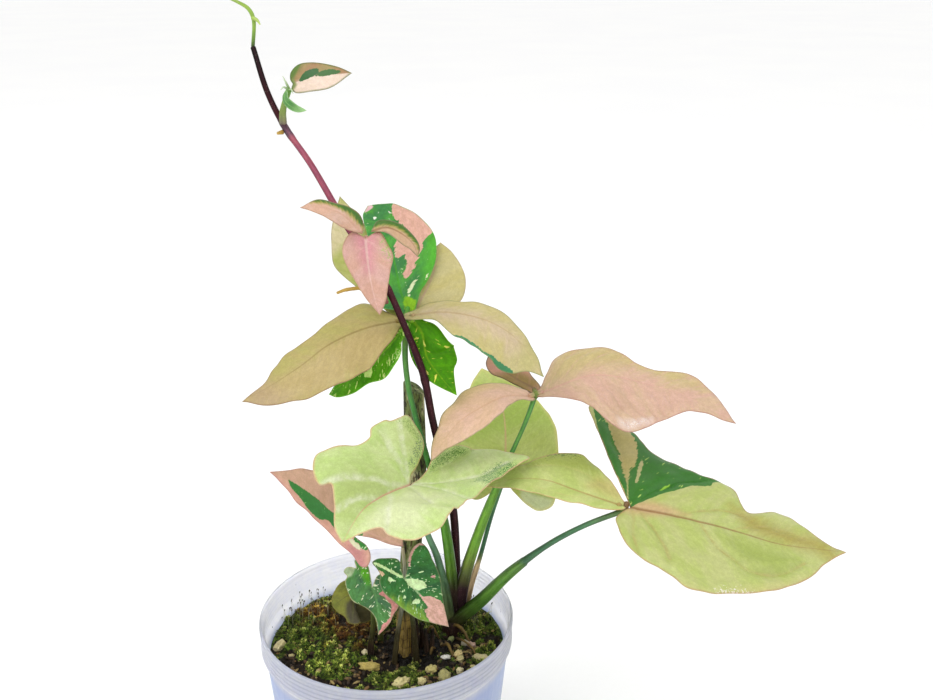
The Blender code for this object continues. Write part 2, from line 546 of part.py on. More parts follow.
def make_chip(name, place, halves, turn, spread=0.0):
    """A rough chip, half sunk in the soil, from a sphere of few faces."""
    draw = random.Random(round(place[0] * 10 + place[1]))
    shape = bmesh.new()
    bmesh.ops.create_icosphere(shape, subdivisions=1, radius=1)
    x, y = place
    z = soil_height(x, y) + 0.2
    cos, sin = math.cos(math.radians(turn)), math.sin(math.radians(turn))
    vertices = []
    for v in shape.verts:
        grown = v.co * draw.uniform(1 - CHIP_ROUGHNESS, 1 + CHIP_ROUGHNESS)
        px, py, pz = (c * (h + spread) for c, h in zip(grown, halves))
        vertices.append((x + px * cos - py * sin, y + px * sin + py * cos, z + pz))
    faces = [[v.index for v in f.verts] for f in shape.faces]
    shape.free()
    return add_object(name, vertices, faces, "chip")


def stem_hole(way, radii):
    """A cutter a little wider and deeper than the foot of a stem."""
    foot, above = Vector(way[0]), Vector(way[1])
    deeper = foot + (foot - above).normalized() * CLEARANCE
    top = above + (above - foot).normalized() * 8
    return tube("hollow", [deeper, above, top], [radii[0] + 0.2, radii[0], radii[0]], "soil", 16,
                spread=CLEARANCE)


def make_ground():
    """The soil with a plain hole for each stem and a pocket for each chip, and the chips in them."""
    soil = make_soil()
    rooted = [CROWN, STUMP] + [LONE_STALKS[f"leaf{k}_stalk"] for k in (8, 9, 10, 11)]
    hollows = [stem_hole(**stem) for stem in rooted]
    for k, (place, halves, turn) in enumerate(CHIPS, 1):
        make_chip(f"chip_{k}", place, halves, turn)
        hollows.append(make_chip("hollow", place, halves, turn, spread=CHIP_ROOM))
    combine(soil, hollows, "DIFFERENCE")


def make_stump():
    """The old stem, cut off on the slant."""
    stump = tube("stump", **STUMP, material="old_wood", sides=12)
    shape = bmesh.new()
    shape.from_mesh(stump.data)
    top = Vector(STUMP["way"][-1]) * MM - Vector((0, 0, STUMP_CUT_DEPTH * MM))
    cut = bmesh.ops.bisect_plane(shape, geom=shape.verts[:] + shape.edges[:] + shape.faces[:], plane_co=top,
                                 plane_no=STUMP_CUT, clear_outer=True)
    bmesh.ops.contextual_create(shape, geom=[e for e in cut["geom_cut"] if isinstance(e,
                                                                                      bmesh.types.BMEdge)])
    bmesh.ops.recalc_face_normals(shape, faces=shape.faces)
    shape.to_mesh(stump.data)
    shape.free()


def make_lobe_joints():
    """A short taper from the top of a stalk to just short of each lobe of its leaf."""
    joints = []
    for hub, lobes in LOBE_HUBS:
        for lobe in lobes:
            base = Vector(BLADES[lobe]["rib"][0])
            end = base - (base - Vector(hub)).normalized() * JOINT_GAP
            joints.append(tube("joint", [hub, end], JOINT_RADII, "stalk_green", 7))
    return joints


def make_stems():
    make_stump()
    tube("climbing_stem", **CLIMBING_STEM, material="dark_stem")
    tube("growing_tip", **GROWING_TIP, material="stalk_green", step=3)
    tube("aerial_root", **AERIAL_ROOT, material="root_brown", sides=6, step=4)
    tube("root_bud", **ROOT_BUD, material="root_brown", sides=6, step=2)
    stalks = tube("leaf_stalks", **CROWN, material="stalk_green", sides=12)
    branches = [tube("stalk", **stalk, material="stalk_green", sides=9) for stalk in CROWN_STALKS]
    combine(stalks, branches + make_lobe_joints(), "UNION")
    for name, stalk in LONE_STALKS.items():
        tube(name, **stalk, material="stalk_green", sides=7)


def main():
    clear_scene()
    make_pot()
    make_ground()
    make_stems()
    for name, blade in BLADES.items():
        make_blade(name, blade)


main()
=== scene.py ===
"""The looks of an arrowhead plant in its clear nursery pot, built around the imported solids.
Lengths in the tables are millimetres."""
import math
import random
import bmesh
import bpy
import numpy as np
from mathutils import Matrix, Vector, noise
from mathutils.geometry import delaunay_2d_cdt, interpolate_bezier


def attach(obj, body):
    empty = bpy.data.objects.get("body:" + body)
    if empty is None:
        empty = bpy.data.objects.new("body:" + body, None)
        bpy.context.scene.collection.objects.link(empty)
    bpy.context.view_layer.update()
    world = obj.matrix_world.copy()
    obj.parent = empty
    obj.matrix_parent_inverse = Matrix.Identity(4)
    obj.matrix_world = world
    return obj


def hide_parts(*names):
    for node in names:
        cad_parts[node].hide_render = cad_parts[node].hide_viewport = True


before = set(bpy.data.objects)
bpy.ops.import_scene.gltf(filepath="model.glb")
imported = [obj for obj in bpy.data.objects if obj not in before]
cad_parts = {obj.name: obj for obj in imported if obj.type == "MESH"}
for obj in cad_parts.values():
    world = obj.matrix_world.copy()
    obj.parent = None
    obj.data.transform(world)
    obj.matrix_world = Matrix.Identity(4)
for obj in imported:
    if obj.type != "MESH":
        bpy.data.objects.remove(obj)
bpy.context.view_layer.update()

MM = 0.001

# The camera that took the photograph, its place in metres and its tilt in degrees
CAMERA_PLACE = (0.0379, -0.4495, 0.4044)
CAMERA_TILT = 70
CAMERA_LENS = 42.44
SENSOR_WIDTH = 36
FLOOR_REACH = 20

# Two square lamps: name, place in metres and power in watts
LAMPS = [("softbox", (-0.9, -0.9, 1.7), 16), ("fill", (1.3, -0.8, 1.1), 3)]
LAMP_SIZE = 1.2
LAMP_AIM = (0.05, 0, 0.2)

# How finely the blades are meshed, in mm
FINE_CELL = 1.0
FINE_EDGE = 0.8

# The pot: a turned shell with a ribbed rim
POT_HEIGHT = 108.0
RIM_RADIUS = 60.0
BODY_RADIUS = 57.8
BASE_RADIUS = 49.0
WALL = 1.2
FLOOR = 1.5
RIM_BAND = 13.0
RIM_RIBS = 5
RIM_PITCH = (RIM_BAND - 2.2) / RIM_RIBS
DRAIN_HOLES = 8
DRAIN_RADIUS = 4.0
DRAIN_CIRCLE = 36.0

# The soil: its mean level, its slope away from the viewer, the mossy mounds on it as (centre, spread,
# rise), a bare dark furrow in the moss, and how much lies scattered inside the pot's wall
SOIL_LEVEL = 91.0
SOIL_SLOPE = -0.07
MOUNDS = [((-22, 22), 20, 4.0), ((34, 20), 14, 2.5), ((-34, -8), 16, 2.0), ((8, -24), 14, -4.5)]
FURROW = [(-47, -17), (-37, -30), (-23, -37), (-11, -31), (-8, -24)]
FURROW_WIDTH = 3.6
SPREAD_RADIUS = 54.0
GRIT_PIECES = 900
MOSS_TRIES = 30000
SPRIG_LEAVES = 3
SPORE_STALKS_LEFT = 70
SPORE_STALKS_RIGHT = 14
GRIT_TONES = ["#3a2a1a", "#5a4228", "#8a6a40", "#2a2016", "#6f5a3a", "#a8925e"]
MOSS_GREENS = ["#3c5214", "#587420", "#809c2e", "#a8c048", "#cad85e", "#e4ea80"]
MOSS_BROWNS = ["#3c2612", "#5e3c1a", "#8c5820", "#ac7628", "#c4a03c", "#dcc05a"]

# Bark and stone chips on the soil: place, half-lengths, turn in degrees and colour
CHIPS = [
    ((-51, -5), (4.6, 3.0, 3.2), 70, "#cfc292"),
    ((-7, -20), (5.6, 2.6, 3.0), 10, "#b8a45c"),
    ((8, -31), (4.6, 3.2, 3.0), 40, "#d8cb92"),
    ((18, -31), (2.6, 2.2, 2.4), 0, "#cdc08a"),
    ((22, -22), (3.0, 2.6, 2.6), 30, "#bdb073"),
    ((28, -29), (3.2, 4.4, 2.4), 15, "#a7a06a"),
    ((34, -11), (3.0, 2.2, 2.4), 50, "#d9c38c"),
    ((45, -14), (4.6, 2.2, 2.2), -20, "#c9bb8e"),
]
PEBBLES = [
    ((-10, -10), (2.0, 1.6, 2.0), 0, "#ddd0a8"), ((28, -13), (2.8, 1.5, 1.2), 10, "#e6e4dc"),
    ((35, -14.5), (2.2, 1.8, 1.6), 40, "#c9bc86"), ((37, -1.4), (1.8, 1.6, 1.8), 0, "#b9b09c"),
    ((30.4, 2.3), (2.2, 1.6, 1.6), 60, "#8f9a62"), ((35, -25), (1.9, 1.4, 2.2), 15, "#d8cda0"),
    ((40.2, -2.4), (3.0, 1.6, 1.8), -35, "#c9a796"), ((-44, -14), (1.6, 1.2, 1.2), 20, "#b7aa7a"),
    ((-30, -26), (1.5, 1.2, 1.1), 50, "#a99a68"), ((14, -37), (1.5, 1.3, 1.2), 0, "#c5b98a"),
    ((41, -22), (1.6, 1.2, 1.2), 0, "#bdb27c"), ((-24, 34), (2.0, 1.5, 1.6), 0, "#b3a878"),
    ((-8, 40), (1.8, 1.5, 1.4), 30, "#c8bc8c"), ((24, 38), (2.2, 1.5, 1.5), 70, "#ab9d66"),
]

# Where the stems run, from the soil upwards, and how thick they are along that way
CROWN = dict(way=[(30, 9.5, 84), (31, 10.5, 96), (33.6, 12.6, 107)], radii=[5.0, 5.0, 4.8])
CLIMBING_STEM = dict(
    way=[(33.9, 14.4, 108.2), (33.2, 14, 122), (31.5, 12, 157), (26.1, 9, 186), (22.3, 7, 206),
         (18.6, 5, 228), (10.7, 4, 251), (3.7, 4, 268), (-4.9, 4, 283), (-12.2, 5, 294),
         (-27.2, 7, 321), (-36.8, 9, 335), (-43.7, 11, 349), (-49.1, 14, 367)],
    radii=[2.1, 2.0, 1.9, 1.8, 1.75, 1.7, 1.6, 1.5, 1.5, 1.45, 1.4, 1.3, 1.2, 1.1])
GROWING_TIP = dict(
    way=[(-49.3, 14.1, 367.9), (-48.4, 15, 378), (-50.2, 15, 382), (-54.5, 14, 384.8), (-60.5, 13, 387.2)],
    radii=[1.1, 1.2, 1.3, 1.1, 0.5])
STUMP = dict(
    way=[(8.2, -7, 78), (8.5, -5, 92), (9.8, -1.5, 116), (12.3, 4, 145), (14.6, 9, 177), (14.0, 13, 202),
         (13.6, 16.4, 222)],
    radii=[5.0, 4.9, 4.5, 4.8, 4.6, 4.8, 4.7])
STUMP_CUT = (0.45, -0.15, 1.0)
STUMP_CUT_DEPTH = 5.0
AERIAL_ROOT = dict(
    way=[(1.2, 2.5, 268.4), (-2.4, 0.5, 269), (-7.4, -1, 269.2), (-13.7, -2, 268.6), (-17, -3, 267.6)],
    radii=[0.7, 0.8, 0.8, 0.8, 0.6])
ROOT_BUD = dict(way=[(-38.0, 8.2, 333.6), (-40.0, 6.8, 333.3)], radii=[1.0, 0.6])

# The stalks that grow out of the crown, sheathed below, and end under their leaves
CROWN_STALKS = [
    dict(way=[(31, 9, 100), (31, 7, 120), (27.4, 5, 154), (20.4, 2.6, 186), (15.1, 4.4, 207),
              (12.2, 6, 220), (10.7, 8, 234), (11.2, 10.8, 251.6)],
         radii=[3.4, 3.0, 2.6, 1.9, 1.6, 1.5, 1.5, 1.7]),
    dict(way=[(34, 8.6, 104), (37.4, 8, 124), (44.3, 12, 146), (51.7, 14, 166), (58.6, 16, 183),
              (65, 18, 198), (69.8, 18.7, 212.4)],
         radii=[3.4, 3.2, 2.7, 2.3, 1.4, 1.2, 1.4]),
    dict(way=[(36, 11, 100), (40.4, 13.4, 116), (44.4, 18, 127), (50, 25, 146), (54.9, 28.9, 160.4)],
         radii=[2.6, 1.6, 1.25, 1.2, 1.2]),
    dict(way=[(32, 8, 98), (44.3, 2, 113), (58.6, -3, 132), (76.4, -8, 150), (91.6, -11, 161),
              (108.6, -12, 169)],
         radii=[3.6, 3.2, 2.6, 1.6, 1.4, 1.5]),
    dict(way=[(30, 8, 100), (27.2, 3, 122), (24.1, -1, 139), (20.6, -6, 152), (16.1, -11, 170),
              (13.4, -13.6, 181.6)],
         radii=[3.0, 2.4, 2.0, 1.7, 1.5, 1.4]),
]

# The top of each stalk with a divided leaf, and the lobes that short joints reach from there
LOBE_HUBS = [
    ((11.2, 10.8, 251.2), ["leaf3_left", "leaf3_lower_left", "leaf3_lower_right", "leaf3_right",
                           "leaf3_back_right", "leaf3_top", "leaf3_back_left"]),
    ((69.8, 18.7, 212.2), ["leaf4_right", "leaf4_left", "leaf4_back"]),
    ((108.4, -12, 169), ["leaf6_left_lobe"]),
]
JOINT_RADII = (1.5, 1.0)

# Curls of dry sheath at the foot of leaf 1
LEAF1_CURLS = [
    [(-34.3, 7.8, 350.6), (-36.4, 6.4, 352), (-37.4, 5.6, 351)],
    [(-34.3, 7.8, 351), (-35.4, 6.6, 354), (-36.4, 6, 356.4)],
    [(-34.3, 7.4, 350.8), (-33, 5.6, 351), (-32.4, 5, 349.6)],
]

# Thin roots over the soil, each with its thickness, and dark stubs of old stalks at the stump's foot
THIN_ROOTS = [
    ([(29.8, 7.7, 93), (33, 5, 97.5), (36.5, 2, 96), (39.5, -1.5, 91.5)], 0.9),
    ([(18.7, 6, 92), (21, 5, 96.5), (24.5, 3.4, 91)], 0.7),
    ([(20.5, -8.7, 88), (21.6, -7, 93), (23, -4.8, 91)], 0.7),
    ([(26.1, -2.8, 91), (29, -6.5, 94.5), (30.6, -10, 93), (32.4, -13.8, 90.5)], 0.8),
    ([(33, 2, 92), (37, -5, 95), (41, -9, 93.5), (43, -14, 90)], 0.6),
]
OLD_STUBS = [
    [(14.3, -10.2, 112), (14.4, -7.6, 102), (13.7, -4.4, 90)],
    [(16.4, -6, 106), (16.6, -4, 98), (16, -2, 89)],
    [(12.6, -9.4, 106), (12.8, -9, 97), (13, -8.6, 87)],
    [(18.6, -8, 104), (18.8, -7.4, 96), (19.4, -7, 87)],
    [(22, -6.6, 103), (21.6, -6, 96), (21, -5.6, 88)],
]
SPROUT = dict(way=[(14, -11.1, 87), (13.4, -12, 91), (15.6, -13, 92.6)], radii=[0.9, 0.8, 0.4])

# Stalks that stand alone in the soil or sit on the climbing stem
LONE_STALKS = {
    "leaf1_stalk": dict(way=[(-37.4, 7.0, 337.5), (-37.2, 6.6, 342), (-35.8, 7, 347), (-34.3, 7.8, 350.8)],
                        radii=[1.3, 1.2, 1.2, 1.2]),
    "leaf2_stalk": dict(way=[(3.4, 1.2, 262), (1.2, -0.4, 273), (-2.3, -1, 284), (-4.0, -3.2, 292.2)],
                        radii=[1.3, 1.1, 1.1, 1.1]),
    "leaf8_stalk": dict(way=[(3.4, -14.4, 82), (5.2, -11.8, 100), (8, -8.8, 118), (9.2, -5.6, 136),
                             (8.4, -3.4, 144.6)],
                        radii=[1.6, 1.4, 1.1, 0.9, 0.9]),
    "leaf9_stalk": dict(way=[(15, -14.6, 82), (14.2, -14.4, 96), (12.9, -14.6, 114), (11.2, -14.6, 126),
                             (10.3, -16.2, 135.6)],
                        radii=[1.8, 1.7, 1.4, 1.2, 1.1]),
    "leaf10_stalk": dict(way=[(-7.6, -9.6, 82), (-7.2, -10, 96), (-5.8, -11, 108), (-5.4, -12.6, 120),
                              (-4.9, -15.2, 130.4)],
                         radii=[1.8, 1.7, 1.3, 1.2, 1.1]),
    "leaf11_stalk": dict(way=[(-3.4, 3, 80), (-3.6, 2.6, 92), (-4.2, 2, 102), (-7.2, 0.8, 113.6)],
                         radii=[1.6, 1.5, 1.2, 1.1]),
}

# Each blade: its midrib from base to tip, the way its upper face looks, and its flat outline on
# either side as (along the midrib, out from it), from the base to the tip. A fold lifts a half in
# degrees at the base, and at the tip where fold_tip says so, an ear's lift is in mm at 30 mm behind
# the base, and waves are (height, length).
BLADES = {
    "leaf1_blade": dict(
        rib=[(-33, 9, 353), (-26, 7, 356), (-17, 5, 357), (-8, 2, 358)], face=(0, -0.8, 0.6), colour="pink",
        left=[(-0.8, 2.4), (0, 5.4), (4, 7), (8, 6.6), (15, 5), (21, 3)],
        right=[(-0.8, 2), (0.5, 4.4), (4, 6), (13, 7), (20, 5)]),
    "leaf1_side_lobe": dict(
        rib=[(-35.4, 5.4, 351), (-35.6, 4, 347), (-32, 3.4, 344), (-27, 3.4, 343)], face=(-0.7, -0.6, 0.3),
        colour="green",
        left=[(1, 1.5), (4, 2.4), (8, 2), (12, 1)],
        right=[(2, 1.3), (5, 1.5), (9, 1.4), (12, 1)]),
    "leaf2_middle": dict(
        rib=[(-4, -5, 292), (-3, -9, 283), (-1, -13, 272), (2, -16, 262)], face=(0, -0.85, 0.5),
        colour="pink", fold=(10, 10),
        left=[(-2, 6), (3, 9), (9, 11), (15, 9), (21, 7), (28, 4)],
        right=[(-3, 5), (1, 9), (6, 10), (13, 8), (18, 6), (26, 3)]),
    "leaf2_left": dict(
        rib=[(-5.1, -5.3, 293.9), (-12, -8, 302), (-19, -11, 306), (-29, -14, 307)],
        face=(-0.2, -0.6, 0.75), colour="pink",
        left=[(7, 4), (16, 6), (22, 4)],
        right=[(2, 3), (6, 5), (10, 5), (16, 4), (23, 4)]),
    "leaf2_right": dict(
        rib=[(-1.7, -5.5, 294.9), (5, -7, 297), (11, -9, 295), (16, -11, 291), (18, -13, 286)],
        face=(0.2, -0.6, 0.75), colour="pink",
        left=[(3, 4), (7, 4), (12, 4), (17, 3), (23, 2)],
        right=[(4, 1.5), (9, 3), (18, 4), (23, 2)]),
    "leaf3_left": dict(
        rib=[(7, 9, 251), (-5, 4, 250), (-21, -4, 245), (-32, -10, 238), (-44, -15, 231), (-57, -20, 225)],
        face=(0, -0.45, 0.9), colour="beige", fold=(-6, -6), wave=(0.8, 26),
        left=[(5, 10), (14, 16), (25, 21), (36, 21), (44, 17), (52, 16), (60, 12), (69, 7)],
        right=[(4, 10), (9, 17), (15, 16), (27, 12), (37, 10), (48, 11), (57, 8), (65, 3)]),
    "leaf3_lower_left": dict(
        rib=[(9, 7, 247), (2, 5, 239), (-10, 2, 229), (-23, 0, 220)], face=(-0.3, -0.6, 0.7), colour="green",
        left=[(3, 4), (6, 7), (13, 10), (19, 11), (25, 8), (33, 7), (40, 4)],
        right=[(9, 6), (20, 8), (32, 5)]),
    "leaf3_lower_right": dict(
        rib=[(14.4, 11, 250.4), (18, 10.4, 245.4), (20.2, 10, 234), (26, 8, 225.6), (33.6, 4, 217.8)],
        face=(-0.1, -0.7, 0.65), colour="green",
        left=[(3, 4), (6, 7), (10, 10), (15, 13), (27, 11), (30, 7), (34, 4)],
        right=[(2, 4), (7, 6.5), (12, 7), (18, 6.5), (26, 5.5), (33, 3)]),
    "leaf3_right": dict(
        rib=[(15, 9, 254), (28, 7, 256), (46, 2, 254), (59, -5, 248), (71, -12, 233)],
        face=(0.1, -0.45, 0.9), colour="beige", fold=(-6, -4), wave=(0.7, 24),
        left=[(7, 7), (13, 8), (20, 9), (27, 10), (36, 9), (46, 6), (53, 4), (60, 3)],
        right=[(8, 4), (19, 12), (23, 14), (39, 16), (48, 17), (55, 16), (60, 12), (63, 5)]),
    "leaf3_back_right": dict(
        rib=[(15, 15, 254), (22, 26, 265), (26, 42, 278)], face=(0.1, -0.6, 0.8), colour="beige",
        left=[(16, 6), (29, 5)],
        right=[(5, 6), (12, 16), (21, 15), (28, 11), (34, 6)]),
    "leaf3_top": dict(
        rib=[(12, 14, 256), (9, 18, 261), (5, 30, 274), (0, 41, 284), (-8, 52, 293)], face=(0, -0.6, 0.8),
        colour="green",
        left=[(1, 6), (4, 10.5), (9, 12.5), (15, 12), (21, 10.5), (29, 9), (42, 7.6), (53, 4.6)],
        right=[(4, 8), (16, 16), (25, 20), (32, 21), (42, 18), (48, 14), (53, 10)]),
    "leaf3_back_left": dict(
        rib=[(8, 15, 253), (-5, 30, 266), (-15, 44, 281), (-21, 55, 297)], face=(-0.1, -0.6, 0.8),
        colour="olive",
        left=[(12, 6), (22, 9), (28, 11), (36, 13), (46, 10), (54, 7)],
        right=[(13, 5), (26, 7), (39, 8), (51, 7)]),
    "leaf4_right": dict(
        rib=[(73, 18, 214), (96, 16, 223), (120, 12, 220), (136, 8, 216), (158, 0, 206)],
        face=(0, -0.4, 0.92), colour="salmon", fold=(-4, -4), wave=(1.0, 30),
        left=[(3, 10), (9, 18), (20, 20), (31, 19), (38, 15), (46, 11), (56, 12), (65, 15), (71, 13),
              (78, 10), (85, 5)],
        right=[(4, 5), (9, 8), (18, 15), (25, 21), (32, 26), (40, 29), (48, 28), (54, 24), (62, 17),
               (70, 8), (77, 4), (86, 2)]),
    "leaf4_left": dict(
        rib=[(66.5, 17.5, 212), (55, 12, 214), (44, 6, 211), (33, 0, 205), (22, -6, 190)],
        face=(-0.1, -0.4, 0.9), colour="salmon", wave=(0.5, 22),
        left=[(5, 3), (13, 6), (21, 9), (32, 11), (44, 8), (52, 3)],
        right=[(4, 6), (9, 9), (19, 12), (27, 13), (33, 11), (41, 9), (46, 6), (52, 5)]),
    "leaf4_back": dict(
        rib=[(69, 22, 214), (58, 32, 217), (48, 45, 221)], face=(0, -0.4, 0.9), colour="tan",
        left=[(14, 4), (21, 6), (28, 4)],
        right=[(6, 6), (15, 10), (26, 9)]),
    "leaf5_blade": dict(
        rib=[(56, 30.6, 164), (57, 40, 171), (57, 62, 182), (54, 78, 189), (46, 95, 196)],
        face=(0, -0.44, 0.9), colour="lime", wave=(0.8, 28),
        left=[(-8, 5), (-13, 12), (-11, 17), (-2, 22), (12, 25), (29, 24), (50, 20), (66, 10)],
        right=[(-7, 5), (-14, 13), (-16, 18), (-13, 24), (-5, 26), (6, 26), (19, 26), (30, 25), (43, 20),
               (54, 12), (65, 5)]),
    "leaf6_blade": dict(
        rib=[(111, -12, 171), (133, -18, 169), (154, -22, 165), (175, -26, 160), (203, -30, 158)],
        face=(0, -0.35, 0.93), colour="lime", fold=(-4, -4), wave=(1.2, 34),
        left=[(-11, 21), (-21, 41), (-27, 53), (-31, 63), (-20, 58), (-6, 50), (5, 37), (25, 31), (39, 28),
              (45, 25), (51, 14), (65, 19), (74, 16), (87, 4)],
        right=[(-5, 8), (-3, 13), (2, 21), (11, 27), (21, 31), (29, 36), (38, 36), (53, 31), (65, 25),
               (79, 15), (86, 7)]),
    "leaf6_left_lobe": dict(
        rib=[(105.5, -11.6, 172), (86, -5, 176), (74, 0, 178), (60, 3, 177), (46, 5, 172)],
        face=(0, -0.35, 0.93), colour="lime", wave=(0.6, 24),
        left=[(5, 6), (15, 7), (25, 9), (37, 9), (52, 5)],
        right=[(3, 8), (8, 13), (16, 18), (27, 21), (32, 19), (37, 15), (45, 9), (54, 6)]),
    "leaf7_blade": dict(
        rib=[(13, -14, 183), (6.4, -22.8, 184.6), (0.3, -33.1, 186.1), (-5.4, -46.2, 187),
             (-11.6, -64.8, 183)],
        face=(0, -0.05, 1), colour="lime", fold=(8, 72), fold_tip=(8, 30), lift=(3, 3), wave=(0.8, 24),
        left=[(-8, -1), (-13, -3.4), (-17, -7.2), (-21, -8.2), (-28, -8), (-34, -6.8), (-41, -3.4),
              (-46, 3), (-48, 16), (-46, 31.5), (-38, 30), (-28, 29.5), (-14, 31), (0, 34.5), (14, 37),
              (43, 38), (51, 34), (54, 29), (52, 18), (48, 13), (52, 6)],
        right=[(-1, 3), (-8, 8), (-13, 15), (-8, 26), (-4, 30), (5, 29), (7, 30.4), (13, 29), (15, 25),
               (21, 24), (26, 26), (32, 29), (36, 30), (40, 26), (42, 20), (39, 17), (44, 11), (54, 5)]),
    "leaf8_blade": dict(
        rib=[(9, -4, 146), (-7, -4, 153), (-22, -7, 161), (-35, -12, 177), (-48, -16, 190)],
        face=(-0.1, -0.5, 0.85), colour="salmon", wave=(0.6, 24),
        left=[(5, 1.5), (12, 1.6), (18, 2.4), (24, 3.6), (21, 5), (17, 6.5), (14, 9.5), (13, 13),
              (14, 16.4), (17, 17), (20, 15.5), (25, 12.6), (30, 10), (36, 6.5), (48, 5), (57, 5), (66, 2)],
        right=[(3, 5), (14, 16), (23, 22), (33, 22), (43, 20), (56, 13), (62, 10), (68, 5)]),
    "leaf9_blade": dict(
        rib=[(10, -17, 137), (16, -21, 132), (23, -24, 125), (30, -27, 118)], face=(0.1, -0.6, 0.8),
        colour="green", fold=(8, 8),
        left=[(-3, 4), (-6, 7.5), (-8, 13), (-7, 16.4), (-3, 16.8), (2, 15), (6, 14), (11, 12), (16, 8.5),
              (21, 5), (26, 2)],
        right=[(-4, -1.4), (-6, -3), (-9, -3.3), (-13, 0.8), (-15, 4), (-15, 6.6), (-11, 7), (-8, 8),
               (-6, 10.5), (-2, 12), (5, 11.5), (12, 10), (17, 8.5), (23, 4.6)]),
    "leaf10_blade": dict(
        rib=[(-5, -16.4, 132), (-3, -19, 127), (-2, -22, 120), (-2, -26, 113)], face=(-0.1, -0.65, 0.75),
        colour="green", fold=(6, 6),
        left=[(-4, 4), (-4, 7), (-1, 9), (4, 10.5), (10, 9.5), (13, 7), (16, 5.5), (19, 3)],
        right=[(-5, -1), (-10, -1.4), (-14, 1), (-14, 3.5), (-10.6, 4), (-11.8, 5.6), (-12.4, 8),
               (-11, 9.8), (-8.6, 9), (-7, 10.5), (-2, 11), (2, 10.5), (6, 8), (12, 2.6), (16, 1)]),
    "leaf11_blade": dict(
        rib=[(-8, 0, 115), (-16, -2, 119), (-25, -6, 115)], face=(-0.2, -0.6, 0.8), colour="olive",
        left=[(-4, 6), (-3, 9), (1, 12), (8, 14.5), (15, 15), (18, 12), (18, 8), (19.4, 4)],
        right=[(4, 5), (10, 8), (15, 6), (18.5, 3.4)]),
}



def painted(tint, outline, **kind):
    """A patch of another colour on a blade, in the same flat measures as the blade's outline."""
    return dict(colour=tint, outline=outline, **kind)


